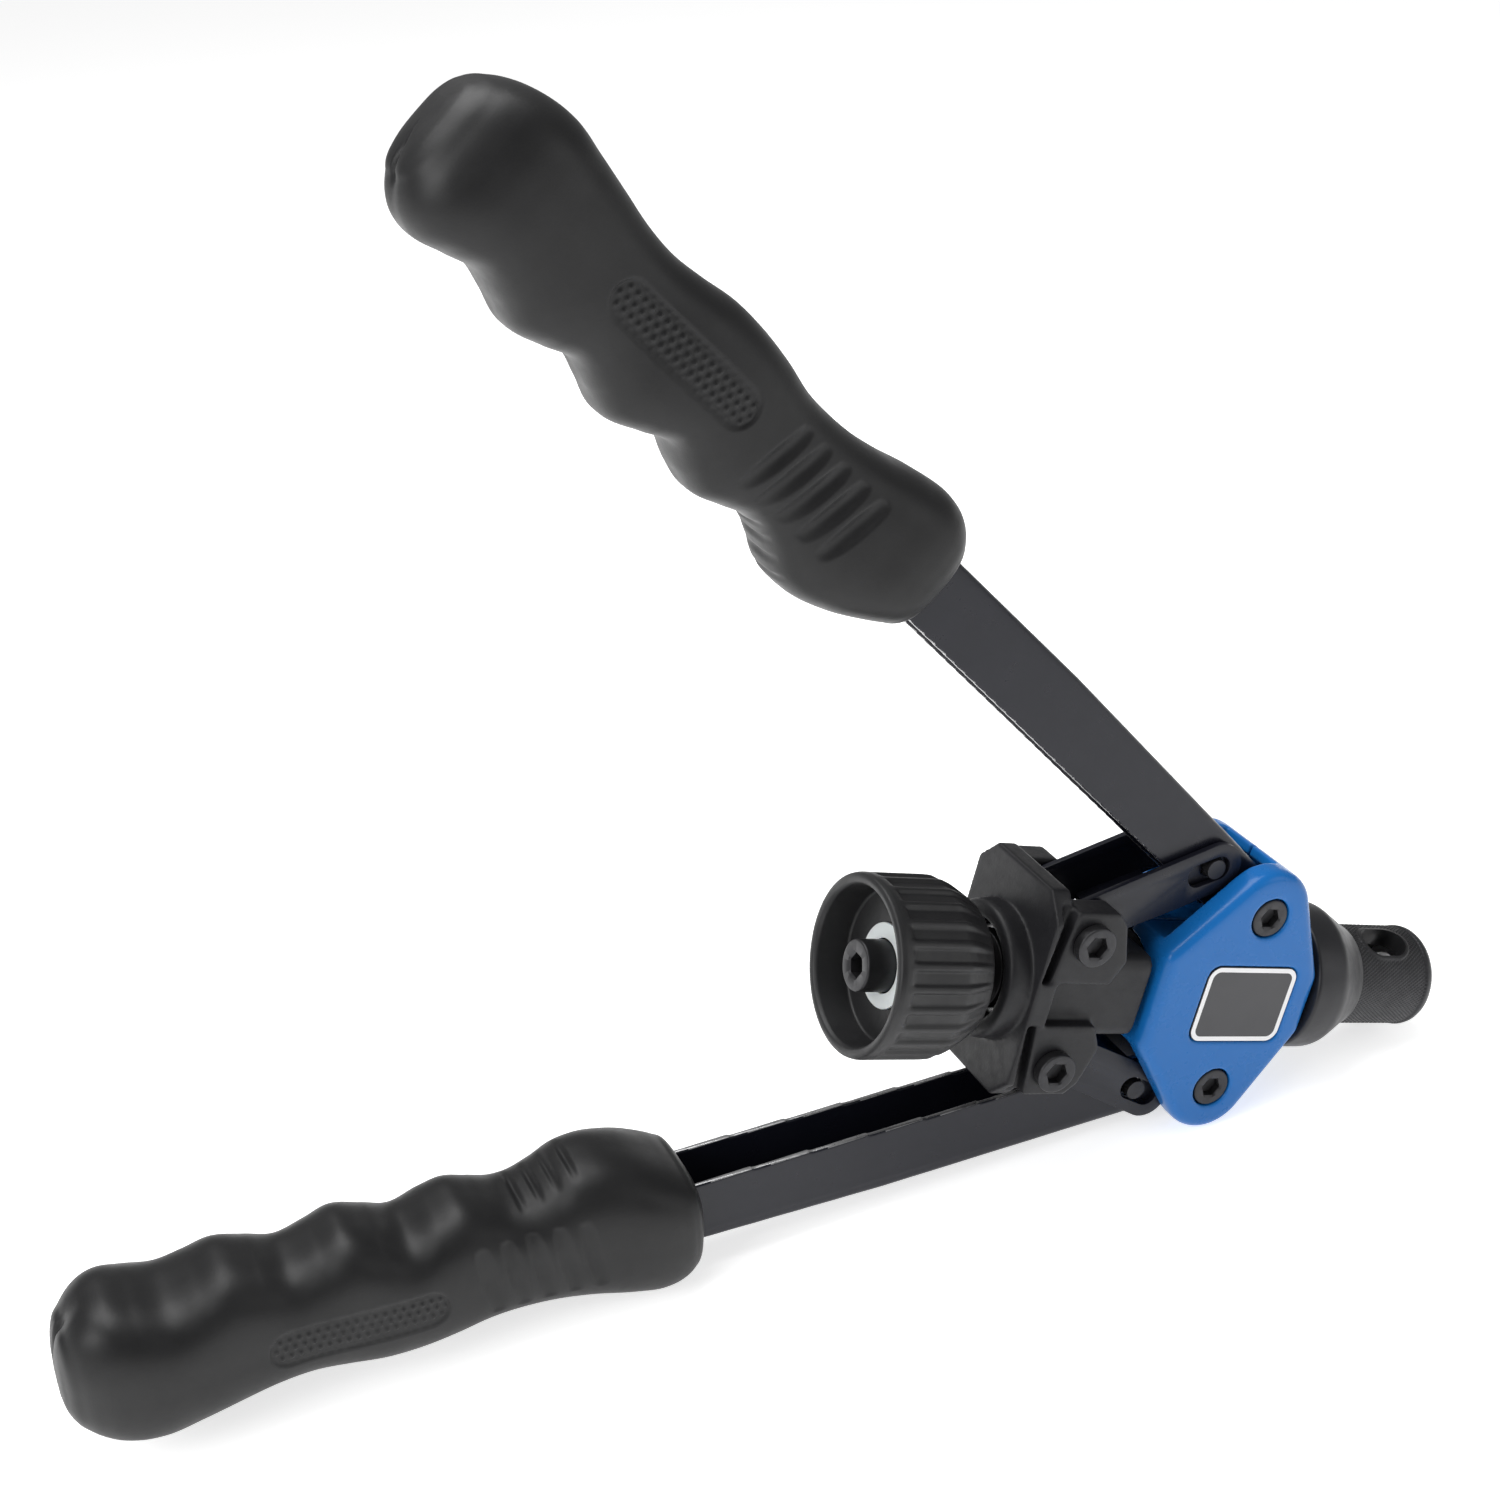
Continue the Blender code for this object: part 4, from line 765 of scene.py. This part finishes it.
def grip(side):
    """A superelliptic tube along the arm, ending in a rounded butt, with a flat mouth for the arm."""
    fine = np.linspace(0, 2 * np.pi, 4001)
    power = 0.70
    unit = np.stack([np.sign(np.cos(fine)) * np.abs(np.cos(fine)) ** power,
                     np.sign(np.sin(fine)) * np.abs(np.sin(fine)) ** power])
    length = np.concatenate([[0], np.cumsum(np.hypot(*np.diff(unit)))])
    angle = np.interp(np.linspace(0, length[-1], 209)[:-1], length, fine)[None, :]
    spread = np.concatenate([
        np.arange(133.5, 137, 0.25), np.arange(137, 156, 0.5), np.arange(156, 189, 0.33),
        np.arange(189, 193, 0.5), np.arange(193, 234, 0.26), np.arange(234, 266, 0.6),
    ])
    butt = 275.2 - 9.2 * (1 - np.sin(np.linspace(0, np.pi / 2, 26)))
    at = np.concatenate([spread, butt])[:, None]
    outer, inner, width = (smooth_curve(table, at) for table in (OUTER_REACH, INNER_REACH, HALF_WIDTH))
    c, s = np.cos(angle), np.sin(angle)
    across = width * np.sign(c) * np.abs(c) ** power
    out = np.where(s > 0, outer, inner) * np.sign(s) * np.abs(s) ** power
    flat_side = np.clip((np.abs(c) ** power - 0.55) / 0.25, 0, 1)
    inner_side = np.clip((-s - 0.3) / 0.3, 0, 1)
    place = np.broadcast_to(at, across.shape)
    depth = pressed(place, across, out, flat_side, inner_side)
    notch = np.clip((place - 262) / 9, 0, 1) ** 1.5
    depth = depth + 1.7 * notch * bell(across, 4.6) * np.clip(1.1 - np.abs(out + 4) / 13, 0, 1)
    size = np.hypot(across / width, out / np.where(s > 0, outer, inner))
    shrink = depth / np.hypot(across, out).clip(4) / size.clip(0.7)
    points = np.stack([place, across * (1 - shrink), out * (1 - shrink)], axis=-1)
    mouth = points[:1] * [1, 0.62, 0.62] + [0.2, 0, 0]
    tail = points[-1:] * [1, 0.4, 0.4] + [0.15, 0, 0]
    end = np.broadcast_to(np.array([GRIP_END, 0, -1.0]), tail.shape)
    start = np.broadcast_to(np.array([133.7, 0, 1.0]), mouth.shape)
    points = in_arm(side, np.concatenate([start, mouth, points, tail, end]))
    made = piece_from(f"{side}_moulded_grip", points, grid_faces(*points.shape[:2]), grip_rubber, 70)
    return settle(made, f"{side}_handle", "grip_rubber", f"{side}_grip")


for side in ("upper", "lower"):
    grip(side)

# %% [markdown]
# ## Badges
# Each cover carries a printed plate in a shallow recess: a white border round a dark field, left
# blank. It is a stack of outlines that shrink towards the middle, and the faces between two of them
# take the white finish.

# %% Badge plates
PLATE_HALF_LENGTH, PLATE_HALF_HEIGHT = 13.5, 10.2
PLATE_CORNER = 3.4
PLATE_SHIFT = 0.9
PLATE_FRONT, PLATE_BACK = 16.95, 16.15
TO_MIDDLE = 13.0


def badge(side, sign):
    """Corner circles of radius corner - inset, moved out to the plate's corners, give each outline. The
    first and the last outline shrink to the plate's middle."""
    angle = np.linspace(0, 2 * np.pi, 96, endpoint=False)
    c, s = np.cos(angle), np.sin(angle)
    front, back = PLATE_FRONT, PLATE_BACK
    rows = []
    for inset, y in (
        (TO_MIDDLE, back), (0.0, back), (0.0, front - 0.15), (0.15, front), (1.35, front),
        (TO_MIDDLE, front),
    ):
        corner = max(PLATE_CORNER - inset, 0.4)
        x = np.sign(c) * max(PLATE_HALF_LENGTH - inset - corner, 0) + corner * c
        z = np.sign(s) * max(PLATE_HALF_HEIGHT - inset - corner, 0) + corner * s
        if inset == TO_MIDDLE:
            x, z = 0 * c, 0 * s
        rows.append(np.stack([x + PLATE_SHIFT, np.full(96, sign * y), z], axis=-1))
    points = in_tool(np.stack(rows))
    made = piece_from(f"{side}_plate", points, grid_faces(len(rows), 96), badge_dark, 40)
    made.data.materials.append(badge_white)
    middle = np.array([p.center[:] for p in made.data.polygons]) - head_centre
    spot = middle @ tool_axes.T / MM - [PLATE_SHIFT, 0, 0]
    corner = np.maximum(np.abs(spot[:, [0, 2]]) - [10.1, 6.8], 0)
    border = (np.abs(spot[:, 1]) > front - 0.02) & (np.hypot(*corner.T) > 2.1)
    made.data.polygons.foreach_set("material_index", border.astype(np.int32))
    return settle(made, "head", "badge_film", f"{side}_badge")


badge("near", -1)
badge("far", 1)

# %% [markdown]
# ## The pieces that stay
# A few inner pieces, such as the bushes and the bored core, have the right shape already. They only
# take a finish.

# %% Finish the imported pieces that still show
STAYING = {
    "head_core": black_oxide, "spindle_circlip": bright_steel,
    "upper_pivot_bush": bright_steel, "lower_pivot_bush": bright_steel,
    "upper_link_bush": bright_steel, "lower_link_bush": bright_steel,
    "upper_link_pin": black_oxide, "lower_link_pin": black_oxide,
}
for node, material in STAYING.items():
    mesh = frame["nodes"][node].data
    mesh.materials.clear()
    mesh.materials.append(material)
print(len(STAYING), "packed pieces refinished")

# %% Update the scene
bpy.context.view_layer.update()
